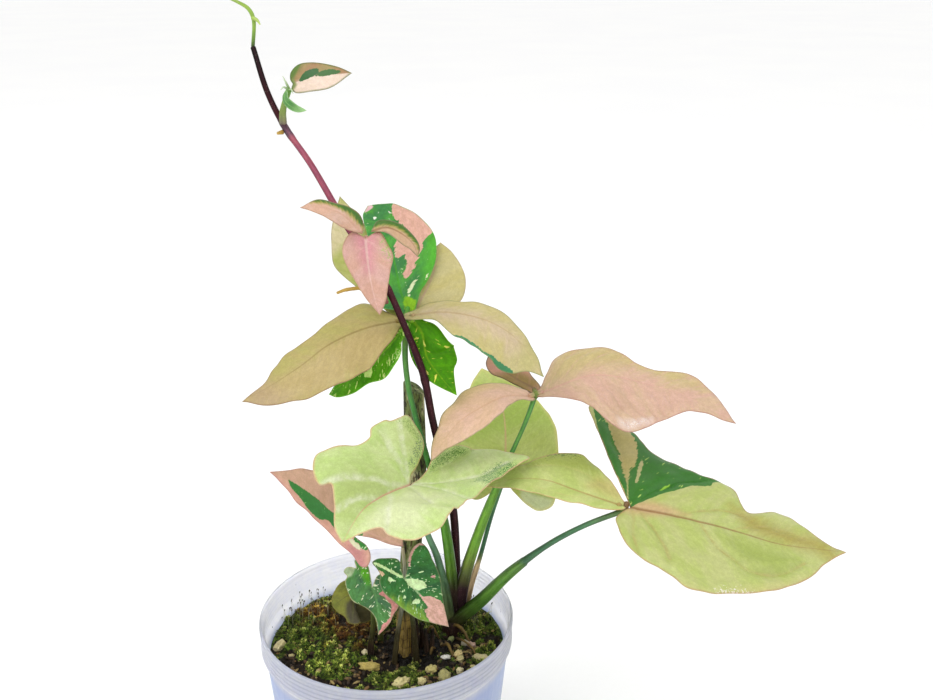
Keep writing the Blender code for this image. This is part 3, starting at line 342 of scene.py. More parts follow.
# How each blade is coloured: base and second tone, midrib and side veins, an edge line of some width,
# and marks. A mark may be ragged or soft at its edge by that many mm, or broken into dots of that
# size. Flecks are small dashes along the veins and specks are scattered dots, each (colour, amount).
# relief is how far the midrib sinks, the blade swells between its side veins and bulges broadly, in mm
# on a blade of 60 mm or more, and lines is how strongly the side veins show.
LOOKS = {
    "leaf1_blade": dict(
        base="#9d774f", tone="#95824d", rib="#b19278", specks=("#626e2f", 0.2), vein="#9b754d",
        edge=("#48661b", 0.7),
        marks=[
            painted("#dcc6b6", [(1, 0), (34, 0), (34, 12), (-4, 12)], soft=0.2),
            painted("#c9bc88", [(6, 6.4), (34, 2), (34, 12), (6, 12)], soft=1.5),
            painted("#dfb0aa", [(1, 0), (16, 0), (12, 3), (3, 4.4)], soft=1.4),
            painted("#547321", [(-4, -9), (7, -9), (5, -5), (1, -2), (-4, -1)], soft=1.5),
            painted("#225b1e", [(2.4, 0.8), (4, -1), (6.5, -2.8), (10, -3.4), (12, -3), (12, -1.2),
                    (10, 0.2), (7, 1)], ragged=0.5),
            painted("#306221", [(10.5, 0.2), (12, -1.4), (15, -2.4), (18, -2.4), (22, -1.4), (21, -0.2),
                    (17, 0.2), (14, 0.6)], ragged=0.5),
            painted("#7a8847", [(-4, -3), (1, -2), (2, 1.5), (-1, 4), (-4, 4)], soft=0.8)]),
    "leaf1_side_lobe": dict(
        base="#45803c", tone="#5c8e4b", rib="#78a860", rib_width=0.4, vein="#6aa050", edge=("#9cc488", 0.3),
        marks=[
            painted("#8cb878", [(10, -4), (16, -4), (16, 4), (10, 4)], soft=2.5)]),
    "leaf2_middle": dict(
        base="#c99d8c", tone="#caa096", rib="#d9b4ac", vein="#d2afa2", edge=("#b58d71", 0.5),
        relief=(0.7, 0.25, 1.3),
        marks=[
            painted("#ca8991", [(-2, -5), (14, -1.5), (14, 1.5), (-2, 5)], soft=3.5),
            painted("#cad39e", [(-3, -6), (-1, -9.5), (3, -10.5), (0, -8)], soft=0.8, ragged=1),
            painted("#9fad65", [(-3, -12), (10, -12), (12, -8), (6, -5.5), (0, -6)], dots=0.8)]),
    "leaf2_left": dict(
        base="#d0a790", tone="#d3af9d", rib="#c79d86", vein="#cca38b", edge=("#a9836c", 0.4),
        marks=[
            painted("#a39847", [(-6, 1.2), (26, 2), (26, 12), (-6, 12)], soft=1, ragged=1),
            painted("#406d1b", [(-6, 2), (14, 2.4), (30, 3), (30, 12), (-6, 12)], soft=0.9, ragged=1.4)]),
    "leaf2_right": dict(
        base="#c39f82", tone="#be9b7a", rib="#866032", vein="#bc9576", edge=("#797959", 0.5),
        marks=[
            painted("#9c933f", [(-6, -1), (26, -0.8), (26, -12), (-6, -12)], soft=1, ragged=1),
            painted("#3e6916", [(-6, -1.6), (30, -1.4), (30, -12), (-6, -12)], soft=0.9, ragged=1.4)]),
    "leaf3_left": dict(
        base="#a89f59", tone="#ad9e60", rib="#8a763d", vein="#a29255", edge=("#8a624c", 0.35),
        relief=(0.6, 0.2, 1.6), lines=0.3,
        marks=[
            painted("#b29e69", [(2, 0), (72, 0), (72, -9), (30, -22), (10, -18)], soft=5, ragged=5),
            painted("#ac956d", [(58, -16), (75, -16), (75, 12), (64, 12)], soft=6)]),
    "leaf3_lower_left": dict(
        shine=0.15, mottle=0.4, base="#4c9e11", tone="#5fad1d", rib="#8dc940", vein="#69b427",
        flecks=("#d8f791", 0.3), specks=("#d8f791", 0.3), relief=(0.9, 0.5, 1.0),
        marks=[
            painted("#d3f694", [(20, -2.5), (23, -6), (25, -4), (24, -2)], ragged=0.5),
            painted("#dff9a8", [(3, -5), (6, -10), (12, -9), (10, -5)], dots=0.7)]),
    "leaf3_lower_right": dict(
        shine=0.15, mottle=0.4, base="#54a103", tone="#478f02", rib="#87bd16", vein="#6db00b",
        flecks=("#f0f169", 0.2), specks=("#f0f169", 0.2), relief=(1.0, 0.6, 1.0),
        marks=[
            painted("#f9f57c", [(9, 0.4), (12, -0.6), (14, -0.9), (13, 0.2)], ragged=0.3),
            painted("#f9f57c", [(13, -8.5), (15, -11), (20, -11), (15, -9)], ragged=0.4),
            painted("#f9f57c", [(21, 4.5), (24, 3), (26, 3.2), (23, 5)], ragged=0.5),
            painted("#f9f57c", [(7, 3), (9, 1.8), (10, 2.2), (9, 3)], ragged=0.3)]),
    "leaf3_right": dict(
        base="#bfb380", tone="#bbaf73", rib="#b39a6f", vein="#b7a577", edge=("#829159", 0.3),
        relief=(0.5, 0.2, 1.4), lines=0.3,
        marks=[
            painted("#c4b091", [(3, -2), (60, -3), (66, 3), (52, 7), (14, 5)], soft=5, ragged=4),
            painted("#b8af75", [(48, -9), (64, -9), (66, 8), (56, 8)], soft=5),
            painted("#347d4e", [(9, 6.5), (16, 11), (21, 13), (36, 14.6), (43, 15.8), (51, 14.8), (59, 11),
                    (64, 14), (50, 22), (10, 20)], ragged=0.6)]),
    "leaf3_back_right": dict(
        base="#c0b681", tone="#bdb272", rib="#bfa185", vein="#b9ab79", edge=("#b1987b", 0.3)),
    "leaf3_top": dict(
        shine=0.2, mottle=0.25, base="#3c8043", tone="#4f9d3b", rib="#479c24", vein="#4b9d48",
        edge=("#77b25e", 0.25), flecks=("#c6e3a8", 0.12), specks=("#c6e3a8", 0.24), relief=(0.9, 0.35, 1.2),
        marks=[
            painted("#52ab2e", [(6, 8), (30, 17), (36, 24), (10, 24), (0, 12)], soft=3),
            painted("#d6a897", [(52, 10), (52, 16), (46, 22), (40, 24), (34, 24), (32, 19), (31, 16),
                    (29, 14.5), (27, 15), (25, 12.5), (23, 10.5), (18, 7.5), (14, 5), (14, 1.5), (17, 3),
                    (21, 5.5), (24, 5.5), (27, 5.5), (25, 3.5), (25, 1.5), (26, 1), (30, 1.5), (34, 4),
                    (38, 7.5), (40, 9), (42, 8), (46, 8), (49, 8.5)], ragged=1.6),
            painted("#dde8bb", [(14, 9.5), (9, 6), (4, 2.5), (5, 2), (8, 3.5), (12, 6.5)], ragged=0.8),
            painted("#dde8bb", [(15, 14.5), (11, 12), (12, 12), (14, 12.5)]),
            painted("#e8eee0", [(50.6, -0.6), (48.8, 0.8), (47.8, -1.8)]),
            painted("#e4ecda", [(50, 6.8), (48, 8), (48, 6.6)]),
            painted("#e4ecda", [(47, 4.2), (45, 5.6), (44.4, 4.8)]),
            painted("#dde8d0", [(52, 2.8), (50.6, 2.6), (50, 1.4)]),
            painted("#deb6bb", [(54, -3), (60, -3), (60, 2), (55, 2)], soft=0.4),
            painted("#89c01e", [(5.5, 1.5), (1, 5), (-3, 2), (-3, -2), (3, -1)], soft=0.5, ragged=0.8)]),
    "leaf3_back_left": dict(
        base="#a9ab60", tone="#9ba54b", rib="#a09964", vein="#9ea057", edge=("#9a8b70", 0.4),
        marks=[
            painted("#c4b98f", [(40, -16), (62, -16), (62, 12), (48, 12)], soft=3)]),
    "leaf4_right": dict(
        base="#cca693", tone="#c9ab8e", rib="#cfa291", vein="#cfa997", edge=("#ab716a", 0.35),
        relief=(0.5, 0.9, 2.2), lines=0.6,
        marks=[
            painted("#beac77", [(0, -2), (12, -22), (34, -22), (44, -12), (30, -6)], soft=8),
            painted("#c3b07b", [(40, -12), (60, -16), (74, -10), (60, -4)], soft=6, ragged=4),
            painted("#c09d87", [(30, 5), (36, 8), (46, 16), (38, 18)], soft=4),
            # Painted highlight: a pale soft patch and whitish dots stand for a wet shine on the blade.
            painted("#d7c0b6", [(38, 23), (43, 23), (49, 21.5), (55, 18.5), (56, 22), (46, 28), (40, 28)],
                    strength=0.7, soft=1.6),
            painted("#efecec", [(40, 25.5), (45, 24.5), (52, 20.5), (53, 22), (45, 27)], dots=0.5)]),
    "leaf4_left": dict(
        base="#dab699", tone="#ddb7a2", rib="#d3a98c", vein="#d9b69a", edge=("#858b5a", 0.4),
        relief=(0.4, 0.2, 1.6), lines=0.3,
        marks=[
            painted("#d1b787", [(0, 6), (26, 9), (56, 5), (56, 14), (0, 20)], soft=4)]),
    "leaf4_back": dict(
        base="#be8b74", tone="#a98561", rib="#7d5f3b", vein="#a67861", edge=("#40503d", 0.5),
        marks=[
            painted("#8b7239", [(0, -8), (18, -5), (18, 4), (0, 6)], soft=3)]),
    "leaf5_blade": dict(
        base="#c0cd77", tone="#b8c868", rib="#d0ae7f", vein="#c2cc7b", edge=("#dcd386", 1.6),
        relief=(0.4, 0.2, 1.0), lines=0.3,
        marks=[
            painted("#dbe3ba", [(-6, 9), (-8, 16), (-10, 26), (-18, 30), (-20, 14), (-12, 8)], soft=1.5),
            painted("#a6bf53", [(20, -22), (60, -20), (60, 20), (30, 24)], soft=9, ragged=4)]),
    "leaf6_blade": dict(
        base="#adb967", tone="#b6bb79", rib="#8c673c", vein="#b0a464", edge=("#bc886c", 0.5),
        relief=(1.2, 1.6, 1.4), lines=0.7, vein_width=1.3, rib_width=1.3,
        marks=[
            painted("#c4b67e", [(-12, 14), (0, 34), (40, 38), (80, 16), (92, 6), (92, 20), (30, 50)],
                    soft=5),
            painted("#a2964a", [(44, -14), (88, -5), (92, 6), (80, 1), (52, -4)], soft=6, ragged=2),
            painted("#9caa54", [(40, 4), (76, 6), (66, 15), (50, 15)], soft=5, ragged=2),
            painted("#c2a679", [(-3, -3), (10, -5), (26, -2), (10, 3), (-3, 4)], soft=3),
            painted("#347422", [(-32, -66), (-29, -62), (-21, -40.5), (-11, -21), (-5, -11), (-2, -3.5),
                    (-1, 1), (7, -6), (15, -12.5), (20, -16), (26, -20.5), (35, -23.5), (35, -25.5),
                    (41, -28.5), (35, -34), (22, -40), (0, -54), (-12, -62)], ragged=0.4,
                    flecks=("#a3c55e", 0.2)),
            painted("#b6aa6f", [(-27, -62), (-16, -62), (-13, -55), (-9, -50), (-4, -43), (-2, -34),
                    (-2, -25.5), (-4, -24.5), (-3, -19.5), (-4, -14), (-6, -19.5), (-9, -28), (-11, -30),
                    (-10, -33.5), (-14, -40.5), (-18, -48.5)], ragged=1.6),
            painted("#a6aa69", [(-0.6, 0), (-1.4, -4), (-3.4, -16), (-4.6, -20), (-4.2, -15), (-2.4, -5)]),
            painted("#b1ae7a", [(0, -32), (1.4, -28), (1, -14.5), (-0.2, -14.5), (-0.6, -24)], ragged=0.6),
            painted("#94c944", [(11, -13), (12, -16.5), (15.4, -20), (15, -17.5), (12, -13)], ragged=0.5),
            # Painted highlight: whitish dots near the edge stand for glints of gloss.
            painted("#e4dfd3", [(40, 34), (44, 31), (72, 26), (74, 29), (52, 38)], dots=1.3)],
        veins=[
            [(21, 0), (28, -5), (34, -8), (42, -10.5), (51, -11)],
            [(46, 0), (55, -6), (62, -9), (70, -9), (78, -5)],
            [(30, 0), (40, 11.5), (49, 16), (54, 18.5), (64, 17), (71, 13), (77, 8)],
            [(3, 0), (9, 6), (17, 16), (21, 24)], [(0, 0), (2, 4), (4, 14.5), (8, 24)],
            [(0, 0), (-3, -11.5), (-6, -24), (-18, -50)],
            [(0, 0), (6, -9), (10, -14), (22, -24), (34, -28)]]),
    "leaf6_left_lobe": dict(
        base="#b4c36e", tone="#c1ca81", rib="#ae9559", vein="#c4ba79", edge=("#ce9675", 0.4),
        relief=(0.8, 0.5, 1.0),
        marks=[
            painted("#bda168", [(-2, 1), (16, 4), (14, 12), (0, 12)], strength=0.5, soft=4),
            painted("#9fac55", [(14, 12), (34, 9), (50, 6), (58, 26), (12, 26)], soft=4, ragged=3),
            painted("#4d6a29", [(24, 18), (30, 16.5), (37, 13), (40, 18), (30, 26)], dots=0.7)],
        veins=[
            [(0, 0), (8, 8), (18, 11), (28, 11), (44, 7)], [(10, 0), (18, -4), (30, -6), (44, -4)]]),
    "leaf7_blade": dict(
        base="#c8d796", tone="#bad180", rib="#d89a86", vein="#e3e6cc", edge=("#d89a82", 0.6),
        relief=(0.9, 0.9, 1.6), lines=0.7, vein_width=2.4, rib_width=1.3,
        marks=[
            painted("#b0c274", [(12, 2), (48, 2), (48, 12), (34, 16), (16, 10)], soft=8),
            painted("#d5dead", [(4, -4), (50, -4), (50, -30), (4, -26)], soft=8, ragged=4),
            painted("#588736", [(-44, -2), (-41, 3), (-34, 7), (-21, 8.6), (-13, 4), (-14, 0), (-24, 0),
                    (-34, -2)], dots=0.6),
            painted("#4e843e", [(-40, -20), (-30, -18), (-14, -22), (-14, -34), (-40, -34)], dots=0.55),
            painted("#7d9e4b", [(-14, 13), (-12, 21), (-6, 28), (4, 30), (-2, 24), (-8, 16)], dots=0.55),
            painted("#84986e", [(-4, 5), (0, 8), (-4, 16), (-12, 20), (-14, 12)], dots=0.9)],
        veins=[
            [(0, 0), (1, 7), (1, 14.5), (1, 20.5), (1, 30)], [(0, 0), (2, 5), (6, 14.5), (9, 26)],
            [(4, 0), (12, 3), (21, 8.5), (33, 15), (42, 20)], [(2, 0), (7, -11), (16, -22), (26, -32)],
            [(0, 0), (-8, -8), (-22, -17), (-40, -24)], [(0, 0), (-2, -8), (-2, -20), (2, -34)],
            [(14, 0), (24, -7), (39, -13), (52, -17)], [(24, 0), (34, 5), (46, 9)]]),
    "leaf8_blade": dict(
        base="#d9af9a", tone="#d1a78f", rib="#e0b0a0", vein="#d5aa95", edge=("#b6807d", 0.5),
        relief=(0.4, 0.16, 1.4), lines=0.25,
        marks=[
            painted("#e4aea0", [(20, 0), (72, 0), (72, -8), (30, -22), (10, -18)], soft=2),
            painted("#d9979a", [(18, -8), (26, -8), (30, -20), (12, -20)], soft=3),
            painted("#3b863f", [(66, 2), (57, 2.2), (47, 3), (36, 3), (20, 3), (20, -3), (30, -4),
                    (35, -3.2), (37, -1.6), (39, -2), (42, -4), (47, -4), (51, -4), (56, -2.4), (62, -1)],
                    ragged=0.4, flecks=("#94cb7d", 0.2)),
            painted("#e9e7c8", [(28, -5.5), (25, -5.6), (20, -8), (19, -10), (22, -9.6), (25, -8)],
                    ragged=0.4),
            painted("#3f9143", [(24, -4.5), (20, -3.5), (16, -5), (15, -8.5), (18, -9), (20, -8.5),
                    (21, -7), (24, -6.5)], ragged=0.6, flecks=("#d5f1c3", 0.3))]),
    "leaf9_blade": dict(
        shine=0.2, mottle=0.5, base="#30623a", tone="#3f7d3d", rib="#aacf9e", vein="#3f8852",
        edge=("#919371", 0.3), flecks=("#d7f3bd", 0.2), specks=("#cde9bb", 0.42), relief=(0.6, 0.4, 1.0),
        marks=[
            painted("#7fa73d", [(1, 12), (8, 7.5), (16, 4.5), (24, 3), (24, 8), (10, 14)], soft=2.6,
                    ragged=3),
            painted("#d3efb4", [(-14.6, 6.6), (-14, 5.2), (-10, 3.5), (-5, 1.5), (-2, 0.4), (-0.4, -0.3),
                    (-0.6, 0.7), (-2, 2), (-5, 3), (-9, 4.5), (-13, 6.4)], ragged=0.5),
            painted("#e2c0a2", [(-11, 7.4), (-9, 6), (-7, 5.8), (-7, 7.6), (-9, 7.6)], ragged=0.5),
            painted("#daf6c3", [(-5, 5.5), (-4, 4.8), (-1, 4), (-2, 5.2), (-3, 6.6), (-4, 7)], ragged=0.6),
            painted("#d7f3bd", [(0.6, 0.2), (2, -2), (4.4, -4.2), (7, -5.2), (9.6, -4.8), (9, -3),
                    (8.6, -1.2), (7, -0.2), (5, 0.8), (2.6, 1)], ragged=0.8),
            painted("#daf6c3", [(4, 6.4), (3.4, 3.6), (4.6, 4)], ragged=0.4),
            painted("#daf6c3", [(6, 8), (5.8, 5.4), (7.2, 6)], ragged=0.4),
            painted("#daf6c3", [(10, 5.6), (10, 3), (11, 2), (12, 1.6), (12.4, 3.4), (11, 5.2)],
                    ragged=0.6),
            painted("#dba8a6", [(7, -9), (8, -11), (9.4, -11), (9, -9.5)], ragged=0.5),
            painted("#d3a29e", [(-2, -4.5), (-5, -6.5), (-7, -9), (-8, -11.5), (-9, -16), (-6, -19),
                    (-5, -17), (-7, -15), (-6.6, -11.5), (-5, -8.5), (-3, -6)], ragged=0.5),
            painted("#e0b2a7", [(6, 0.2), (11, -0.2), (13, -2), (16, -4.4), (19, -5), (23, -5), (28, -4),
                    (32, 0), (29, 3), (24, 5.5), (19, 4.5), (16, 3.4), (16.6, 1.4), (14, 0.8), (10, 0.6)],
                    ragged=0.7)]),
    "leaf10_blade": dict(
        shine=0.2, mottle=0.5, base="#436e4c", tone="#558e4c", rib="#689d60", vein="#559150",
        edge=("#d3c5a1", 0.25), flecks=("#e6f0cc", 0.22), specks=("#dfeac6", 0.45), relief=(0.6, 0.4, 1.0),
        marks=[
            painted("#a8bd98", [(-13, 4.4), (-10.4, 4.6), (-8, 7), (-8, 11), (-14, 11)], soft=0.6),
            painted("#58a622", [(-13, 1.6), (-10, -1), (-6, -1), (-1, 0.6), (-2, 2.2), (-7, 3)], soft=1),
            painted("#d5908b", [(4, -1.5), (3, -4), (5, -6.5), (9, -9.5), (12, -12), (10, -8.6), (9, -6.6),
                    (6, -4)], ragged=0.5),
            painted("#d5908b", [(9, -6.5), (10, -12), (14, -10), (16, -7), (23, -1), (22, 0.4), (17, -2),
                    (16, -3.5), (14, -5.5), (12, -6)], ragged=0.5)]),
    "leaf11_blade": dict(
        shine=0.2, mottle=0.4, base="#686f21", tone="#7a7d29", rib="#514f2b", vein="#61652e",
        edge=("#847938", 0.6),
        marks=[
            painted("#464129", [(14, -3), (11, -2.2), (5, -3.6), (0, -4.6), (-6, -5), (-8, -12), (0, -18),
                    (18, -18), (18, -12), (17, -7.5)], soft=1.4, ragged=0.6)]),
}


def colour(text):
    """Linear red, green and blue of a colour written as in a paint chart."""
    parts = [int(text[k:k + 2], 16) / 255 for k in (1, 3, 5)]
    return [c / 12.92 if c < 0.04045 else ((c + 0.055) / 1.055) ** 2.4 for c in parts]


class Painter:
    """Builds the nodes of one material."""

    def __init__(self, name):
        self.material = bpy.data.materials.new(name)
        self.material.use_nodes = True
        self.nodes = self.material.node_tree.nodes
        self.links = self.material.node_tree.links
        self.shader = self.nodes["Principled BSDF"]

    def put(self, socket, value):
        if isinstance(value, bpy.types.NodeSocket):
            self.links.new(value, socket)
        elif isinstance(value, str):
            socket.default_value = (*colour(value), 1)
        else:
            socket.default_value = value

    def add(self, kind, inputs, output=0, **settings):
        node = self.nodes.new("ShaderNode" + kind)
        for name, value in settings.items():
            setattr(node, name, value)
        for key, value in inputs.items():
            self.put(node.inputs[key], value)
        return node.outputs[output]

    def value(self, name):
        return self.add("Attribute", {}, "Fac", attribute_name=name)

    def vector(self, name):
        return self.add("Attribute", {}, "Vector", attribute_name=name)

    def paint(self):
        return self.add("Attribute", {}, "Color", attribute_name="paint")

    def place(self):
        """The place in the part's own frame, in mm."""
        here = self.add("TexCoord", {}, "Object")
        return self.add("VectorMath", {0: here, "Scale": 1 / MM}, operation="SCALE")

    def stretch(self, vector, scales):
        return self.add("VectorMath", {0: vector, 1: scales}, operation="MULTIPLY")

    def parts(self, vector):
        node = self.nodes.new("ShaderNodeSeparateXYZ")
        self.put(node.inputs[0], vector)
        return list(node.outputs)

    def noise(self, vector, size, detail=3.0, rough=0.55):
        return self.add("TexNoise", {"Vector": vector, "Scale": 1 / size, "Detail": detail,
                                     "Roughness": rough})

    def cells(self, vector, size, feature="F1"):
        return self.add("TexVoronoi", {"Vector": vector, "Scale": 1 / size}, "Distance", feature=feature)

    def math(self, a, b, operation, third=0.0):
        return self.add("Math", {0: a, 1: b, 2: third}, operation=operation)

    def plus(self, a, b):
        return self.math(a, b, "ADD")

    def minus(self, a, b):
        return self.math(a, b, "SUBTRACT")

    def times(self, a, b):
        return self.math(a, b, "MULTIPLY")

    def step(self, value, low, high, least=0.0, most=1.0):
        return self.add("MapRange", {"Value": value, "From Min": low, "From Max": high, "To Min": least,
                                     "To Max": most}, interpolation_type="SMOOTHSTEP")

    def mix(self, factor, a, b, blend="MIX"):
        return self.add("Mix", {0: factor, 6: a, 7: b}, 2, data_type="RGBA", blend_type=blend)

    def bump(self, height, distance, normal=None):
        inputs = {"Height": height, "Distance": distance * MM, "Strength": 1.0}
        if normal:
            inputs["Normal"] = normal
        return self.add("Bump", inputs)

    def finish(self, **sockets):
        for name, value in sockets.items():
            self.put(self.shader.inputs[name.replace("_", " ")], value)
        return self.material


def spline(points, step):
    """Points about a step apart on the smooth curve through the given ones."""
    ways = [Vector(p).to_3d() for p in points]
    ways = [2 * ways[0] - ways[1], *ways, 2 * ways[-1] - ways[-2]]
    line = []
    for p0, p1, p2, p3 in zip(ways, ways[1:], ways[2:], ways[3:]):
        d0, d1, d2 = (math.sqrt((b - a).length) for a, b in ((p0, p1), (p1, p2), (p2, p3)))
        out_of = (p1 - p0) / d0 - (p2 - p0) / (d0 + d1) + (p2 - p1) / d1
        into = (p2 - p1) / d1 - (p3 - p1) / (d1 + d2) + (p3 - p2) / d2
        count = max(1, round((p2 - p1).length / step))
        line += interpolate_bezier(p1, p1 + out_of * d1 / 3, p2 - into * d1 / 3, p2, count + 1)[:-1]
    return np.array([*line, ways[-2]])


def unit(vectors):
    return vectors / np.linalg.norm(vectors, axis=-1, keepdims=True)


def distance_to(points, line):
    """How far each flat point lies from a flat line of points."""
    a, b = line[:-1], line[1:]
    run = b - a
    share = ((points[:, None] - a) * run).sum(2) / np.maximum((run ** 2).sum(1), 1e-9)
    nearest = a + np.clip(share, 0, 1)[:, :, None] * run
    return np.linalg.norm(points[:, None] - nearest, axis=2).min(1)


def inside(points, ring):
    a, b = ring, np.roll(ring, -1, axis=0)
    x, y = points[:, 0, None], points[:, 1, None]
    rise = np.where(b[:, 1] == a[:, 1], 1e-9, b[:, 1] - a[:, 1])
    crossed = ((a[:, 1] > y) != (b[:, 1] > y)) & (x < a[:, 0] + (b[:, 0] - a[:, 0]) * (y - a[:, 1]) / rise)
    return crossed.sum(1) % 2 == 1


def depth_in(points, ring):
    """Distance from the ring's line, positive inside it."""
    ring = np.array(ring, float)
    away = distance_to(points, np.vstack([ring, ring[:1]]))
    return np.where(inside(points, ring), away, -away)


class Surface:
    """The bent sheet of a blade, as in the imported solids."""

    def __init__(self, blade):
        self.blade = blade
        self.line = spline(blade["rib"], 0.5)
        steps = np.linalg.norm(np.diff(self.line, axis=0), axis=1)
        self.along = np.concatenate([[0], np.cumsum(steps)])
        self.length = self.along[-1]

    def place(self, along):
        return np.column_stack([np.interp(along, self.along, self.line[:, k]) for k in range(3)])

    def axes(self, along):
        reach = 0.02 * self.length
        along = np.clip(along, reach, self.length - reach)
        ahead = unit(self.place(along + reach) - self.place(along - reach))
        side = unit(np.cross(ahead, np.array(self.blade["face"], float)))
        return ahead, side, np.cross(side, ahead)

    def bend(self, along, out, height):
        blade = self.blade
        ahead, side, up = self.axes(along)
        beyond = along - np.clip(along, 0, self.length)
        root = self.place(along) + ahead * beyond[:, None]
        half = (out > 0).astype(int)
        fold = np.array(blade.get("fold", (0, 0)), float)
        fold_tip = np.array(blade.get("fold_tip", blade.get("fold", (0, 0))), float)
        share = np.clip(along / self.length, 0, 1)
        turn = np.radians(fold[half] + (fold_tip[half] - fold[half]) * share)
        lift = np.array(blade.get("lift", (0, 0)), float)
        raised = abs(out) * np.sin(turn) + np.where(along < 0, lift[half] * (along / 30) ** 2, 0)
        rise, length = blade.get("wave", (0, 1))
        widest = max(w for _, w in blade["left"] + blade["right"])
        raised = raised + rise * (out / widest) ** 2 * np.sin(2 * math.pi * along / length + half * 1.5)
        return root + side * (out * np.cos(turn))[:, None] + up * (raised + height)[:, None]


def blade_ring(blade, length, root):
    """The blade's outline; a lobe of a divided leaf starts a root's length behind its base."""
    start = [(-root, 0), (-root, 1.5), (-0.4 * root, 3)] if root else [(0, 0)]
    right = spline(start + blade["right"] + [(length, 0)], FINE_EDGE)
    left = spline([(a, -o) for a, o in start + blade["left"]] + [(length, 0)], FINE_EDGE)
    return np.vstack([right, left[-2:0:-1]])[:, :2], len(right) - 1


def flat_blade(ring, tip, length, cell):
    """Points and triangles of the flat blade: its edge, its midrib and a staggered grid between."""
    count = max(4, round(length / cell))
    ribs = np.column_stack([np.linspace(0, length, count + 1)[1:-1], np.zeros(count - 1)])
    low, high = ring.min(0), ring.max(0)
    pitch = cell * math.sin(math.radians(60))
    rows, columns = math.ceil((high[1] - low[1]) / pitch), math.ceil((high[0] - low[0]) / cell)
    row, column = [g.ravel() for g in np.mgrid[0:rows, 0:columns]]
    grid = np.column_stack([low[0] + (column + 0.5 * (row % 2)) * cell, low[1] + (row + 0.5) * pitch])
    grid = grid[inside(grid, ring)]
    closed = np.vstack([ring, ring[:1]])
    grid = grid[(distance_to(grid, closed) > 0.55 * cell) & (distance_to(grid, ribs) > 0.55 * cell)]
    points = [Vector(p) for p in np.vstack([ring, ribs, grid])]
    chain = [0, *range(len(ring), len(ring) + len(ribs)), tip]
    flat, _, triangles, *_ = delaunay_2d_cdt(points, list(zip(chain, chain[1:])), [list(range(len(ring)))],
                                             1, 0.001)
    return np.array(flat), np.array(triangles)


def blade_veins(blade, look, length):
    """Side veins as flat lines: the drawn ones, or a rule's where a blade has none drawn."""
    if "veins" in look:
        return [spline(v, 2.0)[:, :2] for v in look["veins"]]
    out = np.linspace(0, 40, 14)
    lines = []
    count = max(3, round(length / 8))
    for k in range(count):
        start = length * (k + 0.25) / count * 0.92
        for side in (-1, 1):
            lines.append(np.column_stack([start + 0.62 * out + 0.016 * out ** 2 + side, side * out]))
    for side, table in ((1, blade["right"]), (-1, blade["left"])):
        if min(a for a, _ in table) < -4:
            for turn in (100, 128, 155):
                turn = math.radians(turn)
                lines.append(np.column_stack([out * math.cos(turn), side * out * math.sin(turn)]))
    return lines


def write(mesh, name, kind, values):
    layer = mesh.attributes.new(name, kind, "POINT")
    layer.data.foreach_set("value" if kind == "FLOAT" else "vector", np.asarray(values, np.float32).ravel())


def add_object(name, vertices, faces, materials, part=(), smooth=True):
    """An object from vertices in millimetres, riding on the body and standing for the named solids."""
    mesh = bpy.data.meshes.new(name)
    mesh.from_pydata([tuple(v) for v in np.asarray(vertices) * MM], [], faces)
    for material in materials:
        mesh.materials.append(material)
    if smooth:
        mesh.shade_smooth()
    thing = bpy.data.objects.new(name, mesh)
    bpy.context.scene.collection.objects.link(thing)
    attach(thing, "root")
    if part:
        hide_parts(*part)
    return thing


def flecked(p, base, place, flecks):
    """Pale dashes that run along the veins."""
    tint, amount = flecks
    dash = p.noise(p.stretch(place, (1, 0.3, 0)), 1.3, 2, 0.5)
    patch = p.noise(place, 7, 2, 0.5)
    level = p.math(patch, 0.35, "MULTIPLY_ADD", 0.62 - amount * 0.55)
    mask = p.step(p.minus(dash, level), 0.0, 0.03)
    return p.mix(mask, base, tint)


def dotted(p, paint, place, depth, mark):
    """Speckles that crowd towards the middle of a mark."""
    crowd = p.step(depth, -2.5, 4)
    level = p.math(crowd, -0.19, "MULTIPLY_ADD", 0.64)
    grain = p.noise(place, mark["dots"], 2, 0.7)
    mask = p.times(p.step(p.minus(grain, level), 0.0, 0.08), p.step(depth, -2.5, 0))
    return p.mix(mask, paint, mark["colour"])


def marked(p, paint, place, k, mark):
    """A drawn patch of another colour, with ragged teeth along the veins."""
    depth = p.value(f"mark_{k}")
    if "dots" in mark:
        return dotted(p, paint, place, depth, mark)
    ragged = mark.get("ragged", 0)
    if ragged:
        teeth = p.noise(p.stretch(place, (1, 0.25, 0)), 0.7 + 0.5 * ragged, 3, 0.6)
        depth = p.math(p.minus(teeth, 0.5), 3.0 * ragged, "MULTIPLY_ADD", depth)
    soft = mark.get("soft", 0.12)
    tint = mark["colour"]
    if "flecks" in mark:
        tint = flecked(p, tint, place, mark["flecks"])
    return p.mix(p.step(depth, -soft, soft, 0, mark.get("strength", 1.0)), paint, tint)


def specked(p, base, place, specks):
    """Small scattered dots, thicker in some places."""
    tint, amount = specks
    dots = p.cells(p.stretch(place, (1, 0.7, 0)), 1.2)
    patch = p.noise(place, 6, 2, 0.5)
    reach = p.minus(p.step(patch, 0.7 - amount, 0.8, 0.0, 0.38), dots)
    return p.mix(p.step(reach, 0.0, 0.05), base, tint)


